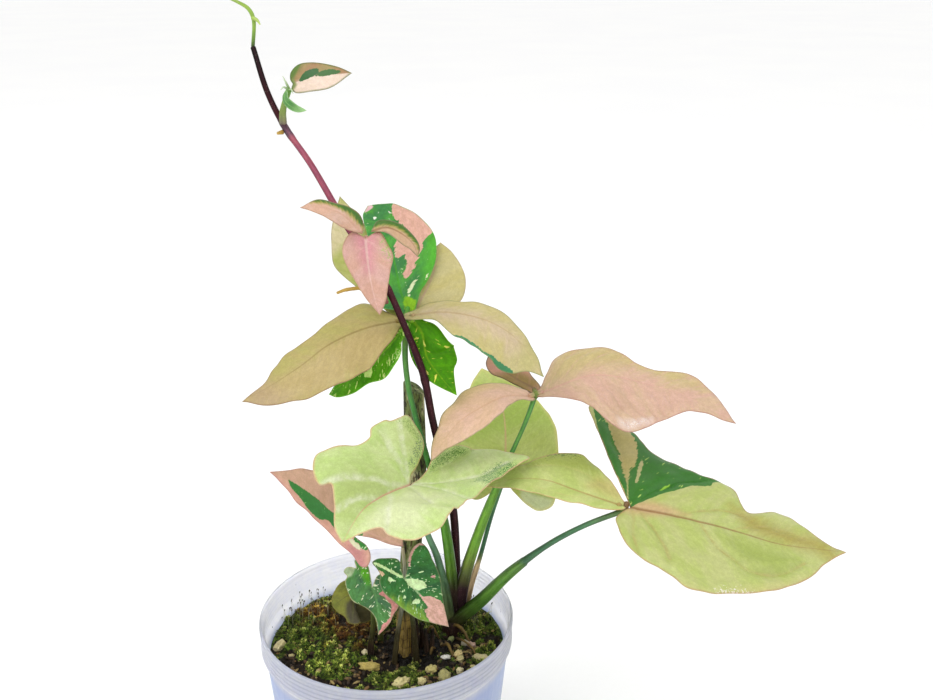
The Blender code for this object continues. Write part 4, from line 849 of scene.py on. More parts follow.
def leaf_material(name, look, under=False):
    p = Painter(name)
    place = p.vector("leaf")
    middle, side, along = p.parts(p.vector("lines"))
    edge = p.parts(place)[2]
    cloud = p.noise(p.stretch(place, (1, 0.5, 0)), 9, 4, 0.6)
    paint = p.mix(p.step(cloud, 0.38, 0.62), look["base"], look["tone"])
    if "flecks" in look:
        paint = flecked(p, paint, place, look["flecks"])
    marks = list(enumerate(look.get("marks", [])))
    for k, mark in marks:
        if mark.get("soft", 0) >= 1:
            paint = marked(p, paint, place, k, mark)
    if "specks" in look:
        paint = specked(p, paint, place, look["specks"])
    fade = p.step(p.noise(place, 5, 2, 0.5), 0.35, 0.65, 0.3, 1)
    stripe = p.step(side, look.get("vein_width", 0.8), 0.1, 0, look.get("lines", 0.4))
    paint = p.mix(p.times(stripe, fade), paint, look["vein"])
    fade = p.step(along, 1.0, 0.3, 0.5, 1)
    stripe = p.step(middle, look.get("rib_width", 1.0), 0.2, 0, 0.75)
    paint = p.mix(p.times(stripe, fade), paint, look["rib"])
    for k, mark in marks:
        if mark.get("soft", 0) < 1:
            paint = marked(p, paint, place, k, mark)
    tint, width = look.get("edge", (look["rib"], 0.25))
    wander = p.noise(place, 4, 2, 0.5)
    rim = p.plus(edge, p.times(wander, 0.8))
    paint = p.mix(p.step(rim, width + 0.7, 0.35, 0, 0.65), paint, tint)
    cells = p.cells(place, 1.1, "DISTANCE_TO_EDGE")
    net = p.step(cells, 0.02, 0.14)
    mottle = p.noise(place, 2.2, 4, 0.65)
    paint = p.mix(p.step(mottle, 0.35, 0.65, look.get("mottle", 0.17), 0.0), paint, "#b0ab8c", "MULTIPLY")
    paint = p.mix(p.step(mottle, 0.5, 0.75, 0, 0.1), paint, "#fffdf0", "SOFT_LIGHT")
    paint = p.mix(p.step(net, 0, 1, 0.14, 0.0), paint, "#b0ab8c", "MULTIPLY")
    if under:
        paint = p.mix(0.35, paint, "#c3cba4")
    grain = p.noise(place, 0.35, 2, 0.6)
    normal = p.bump(p.times(net, 0.5), 0.04)
    normal = p.bump(grain, 0.03, normal)
    rough = p.step(mottle, 0.3, 0.7, 0.52 if under else 0.36, 0.66 if under else 0.48)
    return p.finish(Base_Color=paint, Roughness=rough, Normal=normal,
                    Specular_IOR_Level=look.get("shine", 0.4),
                    Subsurface_Weight=0.1, Subsurface_Scale=0.001, Subsurface_Radius=(1.0, 1.0, 0.4))


def blade_relief(flat, edge, middle, side, length, look):
    """How high the blade swells at each flat point: a groove at the midrib, quilting between the side
    veins, broad bulges and a waved edge."""
    along, out = flat.T
    size = min(1, length / 60)
    groove, quilt, broad = look.get("relief", (0.5, 0.3, 0.9))
    inner = np.clip(edge / 3, 0, 1)
    clear = 1 - 0.9 * np.exp(-(middle / 7) ** 2)
    height = -groove * size * blade_taper(along, length) * np.exp(-(middle / 1.4) ** 2)
    crease = 0.6 - np.exp(-(side / 2.4) ** 2) - 0.35 * np.exp(-(side / 0.6) ** 2)
    height += quilt * size * inner * clear * crease
    bulge = np.array([noise.noise(Vector((a / 15, o / 9, length))) for a, o in flat])
    height += broad * size * inner * clear * np.clip(abs(along) / 8, 0, 1) * bulge
    return height + 0.25 * size * np.sin(along * 0.55 + 1.3 * np.sin(out * 0.4)) * (1 - inner)


def blade_taper(along, length):
    """How the midrib thins towards the tip."""
    return np.clip(1.1 - along / length, 0.25, 1)


def point_normals(places, triangles):
    corners = places[triangles]
    faces = np.cross(corners[:, 1] - corners[:, 0], corners[:, 2] - corners[:, 0])
    normals = np.zeros_like(places)
    for k in range(3):
        np.add.at(normals, triangles[:, k], faces)
    return unit(normals)


def closed_sheet(count, rim, triangles):
    """Faces of the upper sheet, of the lower sheet behind it and of the wall round their rim."""
    top = [tuple(t) for t in triangles.tolist()]
    bottom = [(c + count, b + count, a + count) for a, b, c in top]
    turned = {(a, b) for t in top for a, b in zip(t, (*t[1:], t[0]))}
    border = zip(range(rim), [*range(1, rim), 0])
    walls = [(b, a, a + count, b + count) if (a, b) in turned else (a, b, b + count, a + count)
             for a, b in border]
    return top, bottom, walls


def make_blade(name, blade, look):
    surface = Surface(blade)
    hub = next((h for h, lobes in LOBE_HUBS if name in lobes), None)
    root = np.linalg.norm(np.array(hub) - surface.line[0]) - 0.5 if hub else 0
    ring, tip = blade_ring(blade, surface.length, root)
    cell = min(FINE_CELL, surface.length / 36)
    flat, triangles = flat_blade(ring, tip, surface.length, cell)
    along, out = flat.T
    edge = distance_to(flat, np.vstack([ring, ring[:1]]))
    middle = distance_to(flat, np.array([(0, 0), (surface.length, 0)]))
    side = np.min([distance_to(flat, v) for v in blade_veins(blade, look, surface.length)], axis=0)
    places = surface.bend(along, out, blade_relief(flat, edge, middle, side, surface.length, look))
    normals = point_normals(places, triangles)
    if (normals * surface.axes(along)[2]).sum() < 0:
        normals, triangles = -normals, triangles[:, ::-1]
    taper = blade_taper(along, surface.length)
    half = (0.12 + 0.08 * np.clip(edge / 2, 0, 1))[:, None]
    keel = 0.45 * min(1, surface.length / 60) * taper * np.exp(-(middle / 0.8) ** 2) * (along > -1)
    vertices = np.vstack([places + normals * half, places - normals * (half + keel[:, None])])
    top, bottom, walls = closed_sheet(len(places), len(ring), triangles)
    thing = add_object(name + "_fine", vertices, top + bottom + walls,
                       [leaf_material(name, look), leaf_material(name + "_under", look, True)], [name])
    mesh = thing.data
    index = np.zeros(len(mesh.polygons), int)
    index[len(top):len(top) + len(bottom)] = 1
    mesh.polygons.foreach_set("material_index", index)
    slant = along - 0.62 * abs(out)
    write(mesh, "leaf", "FLOAT_VECTOR", np.vstack([np.column_stack([slant, out + 60, edge])] * 2))
    write(mesh, "lines", "FLOAT_VECTOR",
          np.vstack([np.column_stack([middle / taper, side, along / surface.length])] * 2))
    for k, mark in enumerate(look.get("marks", [])):
        write(mesh, f"mark_{k}", "FLOAT", np.tile(depth_in(flat, mark["outline"]), 2))


def ramp(stops, share):
    """Linear colours along a row of (share, colour) stops."""
    places = [s for s, _ in stops]
    tones = np.array([colour(c) for _, c in stops])
    return np.stack([np.interp(share, places, tones[:, k]) for k in range(3)], axis=-1)


class Heap:
    """Gathers small shapes, with a colour and a run of each point, into one fused mesh."""

    def __init__(self):
        self.points, self.faces, self.paint, self.run, self.count = [], [], [], [], 0

    def add(self, points, faces, paint, run=None):
        points = np.asarray(points, float)
        self.points.append(points)
        self.faces += [tuple(self.count + i for i in f) for f in faces]
        self.paint.append(np.broadcast_to(paint, points.shape))
        self.run.append(points if run is None else run)
        self.count += len(points)

    def make(self, name, material, part=(), smooth=True):
        thing = add_object(name, np.vstack(self.points), self.faces, [material], part, smooth)
        write(thing.data, "run", "FLOAT_VECTOR", np.vstack(self.run))
        layer = thing.data.attributes.new("paint", "FLOAT_COLOR", "POINT")
        paint = np.column_stack([np.vstack(self.paint), np.ones(self.count)])
        layer.data.foreach_set("color", paint.astype(np.float32).ravel())
        return thing


def ring_faces(rings, sides, first, last):
    """Faces between rings of points that follow each other, and round a point at either end."""
    faces = []
    for k in range(rings - 1):
        for i in range(sides):
            a, b = k * sides + i, k * sides + (i + 1) % sides
            faces.append((a, b, b + sides, a + sides))
    top = (rings - 1) * sides
    for i in range(sides):
        n = (i + 1) % sides
        faces += [(first, n, i), (last, top + i, top + n)]
    return faces


def tube(way, radii, sides=20, step=1.0, shape=None, facing=(0, -1, 0)):
    """Points, faces, the run along and round, and the share of the way, of a round-ended tube."""
    line = spline(way, step)
    count = len(line)
    ahead = unit(np.gradient(line, axis=0))
    across = np.array(facing, float)
    turn = 2 * math.pi * np.arange(sides) / sides
    share = np.linspace(0, 1, count)
    radius = np.interp(share * (len(radii) - 1), range(len(radii)), radii)
    along = np.concatenate([[0], np.cumsum(np.linalg.norm(np.diff(line, axis=0), axis=1))])
    rings, runs = [], []
    for k in range(count):
        across = unit(across - ahead[k] * across.dot(ahead[k]))
        other = np.cross(ahead[k], across)
        reach = radius[k] * (shape(along[k], turn, share[k]) if shape else np.ones(sides))
        spokes = (np.outer(np.cos(turn), across) + np.outer(np.sin(turn), other)) * reach[:, None]
        ends = {0: [-1, 0], count - 1: [0, 1]}.get(k, [0])
        for end in ends:
            rings.append(line[k] + spokes * (0.6 if end else 1) + end * ahead[k] * radius[k] * 0.3)
            runs.append(np.column_stack([np.full(sides, along[k]), np.cos(turn) * radius[k],
                                         np.sin(turn) * radius[k]]))
    points = np.vstack([*rings, line[:1] - ahead[:1] * radius[0] * 0.4,
                        line[-1:] + ahead[-1:] * radius[-1] * 0.4])
    run = np.vstack([*runs, [[0, 0, 0]], [[along[-1], 0, 0]]])
    share = np.concatenate([[0] * sides, np.repeat(share, sides), [1] * sides, [0, 1]])
    return points, ring_faces(len(rings), sides, len(points) - 2, len(points) - 1), run, share


def sheath(end):
    """A channel between two lips that ends in a notch, as at the foot of these stalks."""
    def shape(along, turn, share):
        away = abs((turn + math.pi) % (2 * math.pi) - math.pi)
        fade = min(max((end - share) / 0.006, 0), 1)
        lips = 0.26 * np.exp(-((away - 0.75) / 0.25) ** 2) - 0.3 * np.exp(-(away / 0.4) ** 2)
        tooth = 0.6 * math.exp(-((share - end + 0.012) / 0.012) ** 2) * np.exp(-((turn - 5.5) / 0.3) ** 2)
        return 0.86 + fade * (0.07 + lips + tooth) + 0.02 * np.sin(3 * turn + along * 0.05)
    return shape


def ringed(rings, rise=0.1, width=0.8):
    """Low rings at the given distances along a stem."""
    def shape(along, turn, share):
        bulge = sum(math.exp(-((along - r) / width) ** 2) for r in rings)
        return 1 + rise * bulge + 0.025 * np.sin(2 * turn + along * 0.09) + 0.015 * np.sin(5 * turn)
    return shape


def stem_material(name, streak, amount, gloss=0.38, sheen=0.3):
    p = Painter(name)
    run = p.vector("run")
    paint = p.paint()
    lines = p.noise(p.stretch(run, (0.12, 1, 1)), 0.7, 3, 0.6)
    blotch = p.noise(p.stretch(run, (0.5, 1, 1)), 2.5, 4, 0.6)
    paint = p.mix(p.step(lines, 0.35, 0.75, 0, amount), paint, streak, "MULTIPLY")
    paint = p.mix(p.step(blotch, 0.35, 0.7, 0, 0.35), paint, "#fff2c8", "SOFT_LIGHT")
    specks = p.cells(run, 0.9)
    paint = p.mix(p.step(specks, 0.22, 0.1, 0, 0.12), paint, "#e7e0c0")
    normal = p.bump(lines, 0.12)
    normal = p.bump(p.noise(run, 0.3, 2, 0.5), 0.02, normal)
    rough = p.step(blotch, 0.3, 0.7, gloss - 0.05, gloss + 0.12)
    return p.finish(Base_Color=paint, Roughness=rough, Normal=normal, Specular_IOR_Level=sheen)


def add_stem(heap, stem, stops, **settings):
    points, faces, run, share = tube(stem["way"], stem["radii"], **settings)
    heap.add(points, faces, ramp(stops, share), run)


# Colours along the five stalks of the crown and along the lone stalks, from the foot to the leaf
STALK_STOPS = [
    [(0, "#1f1216"), (0.11, "#33261f"), (0.19, "#537a24"), (0.3, "#518a26"), (0.5, "#346f26"),
     (0.7, "#337430"), (0.9, "#538a40"), (1, "#83a258")],
    [(0, "#1f1018"), (0.12, "#331c24"), (0.22, "#627428"), (0.32, "#6ba02d"), (0.6, "#649c30"),
     (0.68, "#346f2b"), (0.8, "#568f45"), (0.95, "#569445"), (1, "#457a2d")],
    [(0, "#332a1f"), (0.12, "#967a53"), (0.2, "#c2a47e"), (0.38, "#d5b693"), (0.45, "#687a4a"),
     (0.5, "#386447"), (0.7, "#346a4a"), (1, "#568a5a")],
    [(0, "#312a1d"), (0.06, "#39441f"), (0.15, "#456a26"), (0.35, "#538430"), (0.47, "#517a32"),
     (0.5, "#315a3b"), (0.8, "#386647"), (1, "#516a3b")],
    [(0, "#515a37"), (0.4, "#517a5a"), (0.8, "#628c6d"), (1, "#85a28c")],
]
LONE_STALK_STOPS = {
    "leaf1_stalk": [(0, "#6f665a"), (0.25, "#76844a"), (0.7, "#6f9440"), (1, "#5f9440")],
    "leaf2_stalk": [(0, "#7d4a4c"), (0.5, "#b08a6a"), (1, "#c79a86")],
    "leaf8_stalk": [(0, "#2a2216"), (0.35, "#3f3a22"), (0.55, "#8f917c"), (0.8, "#b3b5a6"), (1, "#b3a58a")],
    "leaf9_stalk": [(0, "#211a12"), (0.5, "#332e1a"), (0.8, "#54602f"), (1, "#7d9850")],
    "leaf10_stalk": [(0, "#1c1414"), (0.3, "#2c201c"), (0.6, "#4a5028"), (1, "#6a8a3c")],
    "leaf11_stalk": [(0, "#2f2a1c"), (0.4, "#4a5228"), (1, "#7c8648")],
}
SHEATH_ENDS = [0.5, 0.68, 0.4, 0.5, 0.3]


def make_stalks():
    heap = Heap()
    add_stem(heap, CROWN, [(0, "#1c1410"), (0.4, "#33211f"), (0.8, "#2a1a1c"), (1, "#241a16")], sides=24,
             shape=ringed([5, 11, 17], 0.05))
    for stalk, stops, end in zip(CROWN_STALKS, STALK_STOPS, SHEATH_ENDS):
        points, faces, run, share = tube(**stalk, sides=20, shape=sheath(end))
        # Painted light and shade: a painted highlight runs down the lit side of each stalk, and its other
        # sides are painted darker as shade.
        turn = np.arctan2(run[:, 2], run[:, 1])
        lit = 0.68 + 0.62 * np.exp(-((turn + 0.25) / 0.75) ** 2)
        heap.add(points, faces, ramp(stops, share) * lit[:, None], run)
    for hub, lobes in LOBE_HUBS:
        x, y, z = hub
        add_stem(heap, dict(way=[(x - 0.6, y, z - 0.8), (x + 0.8, y, z + 1)], radii=[1.7, 1.7]),
                 [(0, "#4c6a28"), (1, "#7c8a44")], sides=14, step=0.7)
        for lobe in lobes:
            base = np.array(BLADES[lobe]["rib"][0], float)
            end = base + unit(np.array(hub) - base) * 0.2
            points, faces, run, share = tube([hub, end], JOINT_RADII, 14, 0.7)
            heap.add(points, faces, ramp([(0, "#6f9440"), (1, LOOKS[lobe]["rib"])], share), run)
    add_stem(heap, dict(way=[(108.8, -12, 170), (109.6, -11.6, 172.6)], radii=[1.5, 1.2]),
             [(0, "#5a4a2c"), (1, "#7a5a38")], sides=14, step=0.7)
    heap.make("leaf_stalks_fine", stem_material("stalk_skin", "#4c5a28", 0.4, 0.34, 0.35),
              ["leaf_stalks"])
    for name, stalk in LONE_STALKS.items():
        heap = Heap()
        if name == "leaf1_stalk":
            stalk = dict(stalk, radii=[1.7, 1.5, 1.4, 1.3])
            for curl in LEAF1_CURLS:
                add_stem(heap, dict(way=curl, radii=[0.6, 0.45, 0.15]), [(0, "#7fa35a"), (1, "#c6d3bc")],
                         sides=8, step=0.5)
        add_stem(heap, stalk, LONE_STALK_STOPS[name], sides=18, step=0.7, shape=sheath(0.4))
        heap.make(name + "_fine", stem_material(name + "_skin", "#5c6a28", 0.3), [name])


def make_climbing_stem():
    heap = Heap()
    stops = [(0, "#402428"), (0.06, "#2c1016"), (0.3, "#260c14"), (0.42, "#341420"), (0.5, "#2e0c16"),
             (0.58, "#401824"), (0.66, "#7c3a4e"), (0.74, "#94485e"), (0.855, "#944c60"), (0.862, "#5f4656"),
             (0.884, "#55404e"), (0.892, "#38101a"), (0.93, "#2c0a10"), (0.97, "#14060a"), (1, "#0c0606")]
    points, faces, run, share = tube(**CLIMBING_STEM, sides=24,
                                     shape=ringed([60, 118, 163, 239, 242, 245], 0.16, 1.6))
    paint = ramp(stops, share)
    # Painted light and shade: a painted highlight in the pale mauve runs down one side of the stem, strongest
    # on its mauve part, and the opposite side is painted darker as shade.
    turn = np.arctan2(run[:, 2], run[:, 1])
    light = np.exp(-((turn - 0.3) / 0.35) ** 2) * np.where((share > 0.6) & (share < 0.87), 0.3, 0.06)
    dark = np.exp(-((turn + 1.1) / 0.45) ** 2) * 0.6
    paint = paint * (1 - dark[:, None]) + light[:, None] * (np.array(colour("#a8667c")) - paint)
    heap.add(points, faces, paint, run)
    heap.make("climbing_stem_fine", stem_material("burgundy_skin", "#3a1a20", 0.4, 0.4, 0.12),
              ["climbing_stem"])
    heap = Heap()
    tip = dict(way=[(-49.2, 14.1, 366.6)] + GROWING_TIP["way"][1:], radii=[0.75, 0.75, 0.85, 0.65, 0.35])
    add_stem(heap, tip, [(0, "#14180c"), (0.12, "#5f8434"), (0.4, "#86a848"), (0.7, "#8fb04e"),
                         (0.85, "#93a860"), (1, "#b09a86")], sides=18, step=0.6)
    spur = dict(way=[(-48.6, 14.2, 378.5), (-46.6, 13.2, 377.6), (-45.4, 12.6, 376)], radii=[0.9, 0.7, 0.25])
    add_stem(heap, spur, [(0, "#93b24c"), (1, "#b6c873")], sides=12, step=0.4)
    heap.make("growing_tip_fine", stem_material("tip_skin", "#5c6a28", 0.25), ["growing_tip"])
    for name, root in (("aerial_root", AERIAL_ROOT), ("root_bud", ROOT_BUD)):
        heap = Heap()
        add_stem(heap, root, [(0, "#8a6a34"), (0.5, "#b3903f"), (1, "#c2a052")], sides=14, step=0.4,
                 shape=ringed([3, 6, 9, 12, 15], 0.08, 0.5))
        heap.make(name + "_fine", stem_material(name + "_skin", "#6a4a1c", 0.4, 0.6), [name])


def stump_material():
    p = Painter("stump_skin")
    run = p.vector("run")
    along = p.parts(run)[0]
    big = p.noise(p.stretch(run, (0.35, 1, 1)), 3.2, 5, 0.65)
    fine = p.noise(p.stretch(run, (0.25, 1, 1)), 1.1, 4, 0.7)
    cream = p.noise(p.stretch(run, (0.3, 0.8, 0.8)), 4.5, 4, 0.6)
    paint = p.mix(p.step(big, 0.4, 0.62), "#727e44", "#4f5829")
    paint = p.mix(p.step(cream, 0.53, 0.62, 0, 0.8), paint, "#b9b48a")
    paint = p.mix(p.step(fine, 0.52, 0.6, 0, 0.85), paint, "#4a3420")
    paint = p.mix(p.step(p.times(big, fine), 0.26, 0.31, 0, 0.85), paint, "#221810")
    foot = p.step(p.plus(along, p.times(big, 8)), 40, 33)
    strands = p.noise(p.stretch(run, (0.07, 1, 1)), 1.1, 4, 0.65)
    rings = p.math(p.plus(along, p.times(big, 5)), 2.3, "PINGPONG")
    ochre = p.mix(p.step(strands, 0.42, 0.6), "#ac9048", "#4e3c1e")
    ochre = p.mix(p.step(rings, 0.45, 0.0, 0, 0.6), ochre, "#38240f")
    paint = p.mix(foot, paint, p.mix(p.step(fine, 0.5, 0.66, 0, 0.6), ochre, "#c7a866"))
    height = p.plus(big, p.times(fine, 0.6))
    normal = p.bump(height, 0.5)
    rough = p.step(fine, 0.3, 0.7, 0.55, 0.85)
    return p.finish(Base_Color=paint, Roughness=rough, Normal=normal, Specular_IOR_Level=0.35)


def make_stump():
    """The old stem, cut off on the slant, with the scars of its leaves."""
    scars = ringed([5, 8, 11, 14, 17, 20, 23, 26, 52, 54, 82, 84, 112, 114], 0.06, 0.7)

    def worn(along, turn, share):
        return scars(along, turn, share) * (1 - 0.2 * min(max(1 - along / 42, 0), 1))

    points, faces, run, _ = tube(**STUMP, sides=32, shape=worn)
    heap = Heap()
    heap.add(points, faces, colour("#6d7a3c"), run)
    stump = heap.make("stump_fine", stump_material(), ["stump"])
    shape = bmesh.new()
    shape.from_mesh(stump.data)
    top = (Vector(STUMP["way"][-1]) - Vector((0, 0, STUMP_CUT_DEPTH))) * MM
    cut = bmesh.ops.bisect_plane(shape, geom=shape.verts[:] + shape.edges[:] + shape.faces[:], plane_co=top,
                                 plane_no=STUMP_CUT, clear_outer=True)
    rim = [e for e in cut["geom_cut"] if isinstance(e, bmesh.types.BMEdge)]
    cap = bmesh.ops.contextual_create(shape, geom=rim)["faces"]
    bmesh.ops.inset_region(shape, faces=cap, thickness=0.5 * MM, depth=0.25 * MM)
    bmesh.ops.recalc_face_normals(shape, faces=shape.faces)
    shape.to_mesh(stump.data)
    shape.free()


def pot_profile():
    """The shell's outline with rounded ribs, from the axis under the floor, outside and then inside."""
    band_foot, band, lip = POT_HEIGHT - RIM_BAND, RIM_RADIUS - 0.3, 2.2
    profile = [(0, 0), (BASE_RADIUS - 1.5, 0), (BASE_RADIUS - 0.7, 0.25), (BASE_RADIUS - 0.2, 0.8),
               (BASE_RADIUS, 1.5)]
    profile += [(BASE_RADIUS + (BODY_RADIUS - BASE_RADIUS) * k / 12, 1.5 + (band_foot - 3) * k / 12)
                for k in range(1, 13)]
    pitch = RIM_PITCH
    for k in range(RIM_RIBS * 8):
        round_out = abs(math.sin(math.pi * k / 8)) ** 0.7
        profile.append((band - 0.6 + 0.6 * round_out, band_foot + k * pitch / 8))
    profile += [(band - 0.5, POT_HEIGHT - lip), (RIM_RADIUS - 0.05, POT_HEIGHT - lip + 0.2),
                (RIM_RADIUS, POT_HEIGHT - 1.2), (RIM_RADIUS - 0.05, POT_HEIGHT - 0.4),
                (RIM_RADIUS - 0.3, POT_HEIGHT - 0.1), (RIM_RADIUS - 0.6, POT_HEIGHT),
                (RIM_RADIUS - WALL + 0.2, POT_HEIGHT - 0.05), (RIM_RADIUS - WALL, POT_HEIGHT - 0.3)]
    inner = band - 0.6 - WALL
    for k in range(RIM_RIBS * 4 + 1):
        profile.append((inner + 0.07 * math.sin(math.pi * k / 2), POT_HEIGHT - lip - k * pitch / 4))
    profile += [(BODY_RADIUS - WALL, band_foot - 2)]
    profile += [(BASE_RADIUS - WALL + (BODY_RADIUS - BASE_RADIUS) * k / 12,
                 2 * FLOOR + (band_foot - 5) * k / 12)
                for k in range(11, -1, -1)]
    return profile + [(BASE_RADIUS - WALL - 1.3, FLOOR), (0, FLOOR)]


def pot_material():
    p = Painter("frosted_plastic")
    place = p.place()
    x, y, z = p.parts(place)
    turn = p.times(p.math(y, x, "ARCTAN2"), 57)
    round_about = p.add("CombineXYZ", {0: turn, 1: z, 2: 0.0})
    streaks = p.noise(p.stretch(round_about, (1, 0.06, 1)), 1.6, 3, 0.6)
    scuffs = p.noise(place, 5, 5, 0.7)
    paint = p.mix(p.step(scuffs, 0.35, 0.65), "#fcfcff", "#f0f1fd")
    low = p.times(p.step(z, 94, 87, 0, 0.8), p.step(streaks, 0.2, 0.6, 0.7, 1))
    low = p.times(low, p.step(z, 20, 86, 0.5, 1))
    paint = p.mix(p.times(low, p.step(p.math(x, 0, "ABSOLUTE"), 15, 52, 0.45, 1)), paint, "#a8bbe6")
    # Painted shade: the grooves between the rim's ribs are painted darker, strongly outside and faintly
    # inside.
    groove = p.math(p.minus(z, POT_HEIGHT - RIM_BAND), RIM_PITCH / 2, "PINGPONG")
    lines = p.times(p.step(groove, 0.5, 0.1), p.step(z, 92, 94))
    inward = p.step(p.plus(p.times(x, x), p.times(y, y)), 3400, 3330)
    inward = p.times(inward, p.step(z, 91.5, 93))
    paint = p.mix(p.times(lines, p.step(inward, 0, 1, 0.4, 0.08)), paint, "#b9becd")
    paint = p.mix(p.step(streaks, 0.55, 0.8, 0, 0.2), paint, "#ccd3e8")
    # Painted shade: the outside of the pot is painted darker towards the front, standing in for the dark mix
    # seen through the clear wall.
    front = p.times(p.step(y, 0, -40, 0, 0.75), p.step(inward, 0, 1, 1, 0))
    paint = p.mix(front, paint, "#d9dbe8", "MULTIPLY")
    specks = p.cells(p.stretch(place, (1, 1, 1.2)), 3.2)
    where = p.noise(place, 14, 2, 0.5)
    dirt = p.times(p.step(specks, 0.16, 0.1), p.step(where, 0.52, 0.6))
    dirt = p.times(dirt, inward)
    paint = p.mix(dirt, paint, "#2a2018")
    normal = p.bump(p.plus(streaks, p.noise(place, 0.8, 2, 0.5)), 0.04)
    rough = p.step(scuffs, 0.3, 0.7, 0.42, 0.58)
    clear = p.times(p.step(z, 86, 98, 0.5, 1), p.step(y, -45, 15, 0.55, 0.8))
    through = p.plus(clear, p.times(dirt, -0.6))
    return p.finish(Base_Color=paint, Roughness=rough, Normal=normal, IOR=1.12, Transmission_Weight=through,
                    Subsurface_Weight=1.0, Subsurface_Scale=0.003, Subsurface_Radius=(1.0, 1.0, 1.0))


def make_pot():
    profile = np.array(pot_profile())
    sides = 256
    turn = 2 * math.pi * np.arange(sides) / sides
    inner = profile[1:-1]
    rings = np.stack([inner[:, 0, None] * np.cos(turn), inner[:, 0, None] * np.sin(turn),
                      inner[:, 1, None] * np.ones(sides)], axis=-1).reshape(-1, 3)
    vertices = np.vstack([rings, [(0, 0, 0)], [(0, 0, FLOOR)]])
    faces = ring_faces(len(inner), sides, len(rings), len(rings) + 1)
    pot = add_object("pot_fine", vertices, faces, [pot_material()], ["pot"])
    drills = Heap()
    for k in range(DRAIN_HOLES):
        spot = 2 * math.pi * (k + 0.5) / DRAIN_HOLES
        x, y = DRAIN_CIRCLE * math.cos(spot), DRAIN_CIRCLE * math.sin(spot)
        points, faces, run, _ = tube([(x, y, -3), (x, y, 5)], [DRAIN_RADIUS] * 2, 32, 4, facing=(1, 0, 0))
        drills.add(points, faces, (1, 1, 1), run)
    drill = drills.make("drill", pot.data.materials[0])
    cut = pot.modifiers.new("holes", "BOOLEAN")
    cut.operation = "DIFFERENCE"
    cut.object = drill
    bpy.context.view_layer.update()
    result = bpy.data.meshes.new_from_object(pot.evaluated_get(bpy.context.evaluated_depsgraph_get()))
    pot.modifiers.clear()
    pot.data = result
    bpy.data.objects.remove(drill, do_unlink=True)


def near(x, y, centre_x, centre_y, spread):
    """1 at the centre, fading over the spread."""
    return math.exp(-((x - centre_x) ** 2 + (y - centre_y) ** 2) / spread ** 2)


def scattered(draw):
    """A random place on the potting mix."""
    reach, turn = SPREAD_RADIUS * math.sqrt(draw.random()), draw.uniform(0, 2 * math.pi)
    return reach * math.cos(turn), reach * math.sin(turn)


def soil_height(x, y):
    """How high the potting mix lies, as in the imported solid."""
    height = SOIL_LEVEL + SOIL_SLOPE * y
    for (cx, cy), spread, rise in MOUNDS:
        height += rise * near(x, y, cx, cy, spread)
    return height + 0.9 * noise.noise(Vector((x, y, 0)) / 7)


def soil_radius(z):
    share = (z - 2 * FLOOR) / (POT_HEIGHT - RIM_BAND - 2 - 2 * FLOOR)
    return BASE_RADIUS - WALL + (BODY_RADIUS - BASE_RADIUS) * share - 0.35


def soil_material():
    p = Painter("potting_mix")
    place = p.place()
    crumb = p.cells(place, 1.8)
    grain = p.noise(place, 1.2, 5, 0.7)
    paint = p.mix(p.step(grain, 0.35, 0.7), "#0b0805", "#2e2115")
    fibre = p.noise(p.stretch(place, (0.3, 1, 1)), 0.8, 3, 0.6)
    paint = p.mix(p.step(fibre, 0.6, 0.68, 0, 0.4), paint, "#5c4730")
    leafy = p.mix(p.step(grain, 0.38, 0.62), "#0e1404", "#66802a")
    leafy = p.mix(p.value("brown"), leafy, p.mix(p.step(grain, 0.35, 0.62), "#180e06", "#6a451c"))
    paint = p.mix(p.step(p.plus(p.value("moss"), grain), 0.6, 1.0), paint, leafy)
    # Painted shadow: round the stump's foot, under the leaves, the mix is painted near black; the same mask
    # makes it glossier there, as wet.
    away = p.add("VectorMath", {0: place, 1: (14, -5, 86)}, "Value", operation="DISTANCE")
    shade_and_wet = p.step(away, 23, 10)
    paint = p.mix(p.times(shade_and_wet, 0.85), paint, "#080604")
    normal = p.bump(p.minus(grain, crumb), 0.8)
    rough = p.plus(p.step(grain, 0.3, 0.7, 0.7, 0.95), p.times(shade_and_wet, -0.45))
    return p.finish(Base_Color=paint, Roughness=rough, Normal=normal, Specular_IOR_Level=0.25)


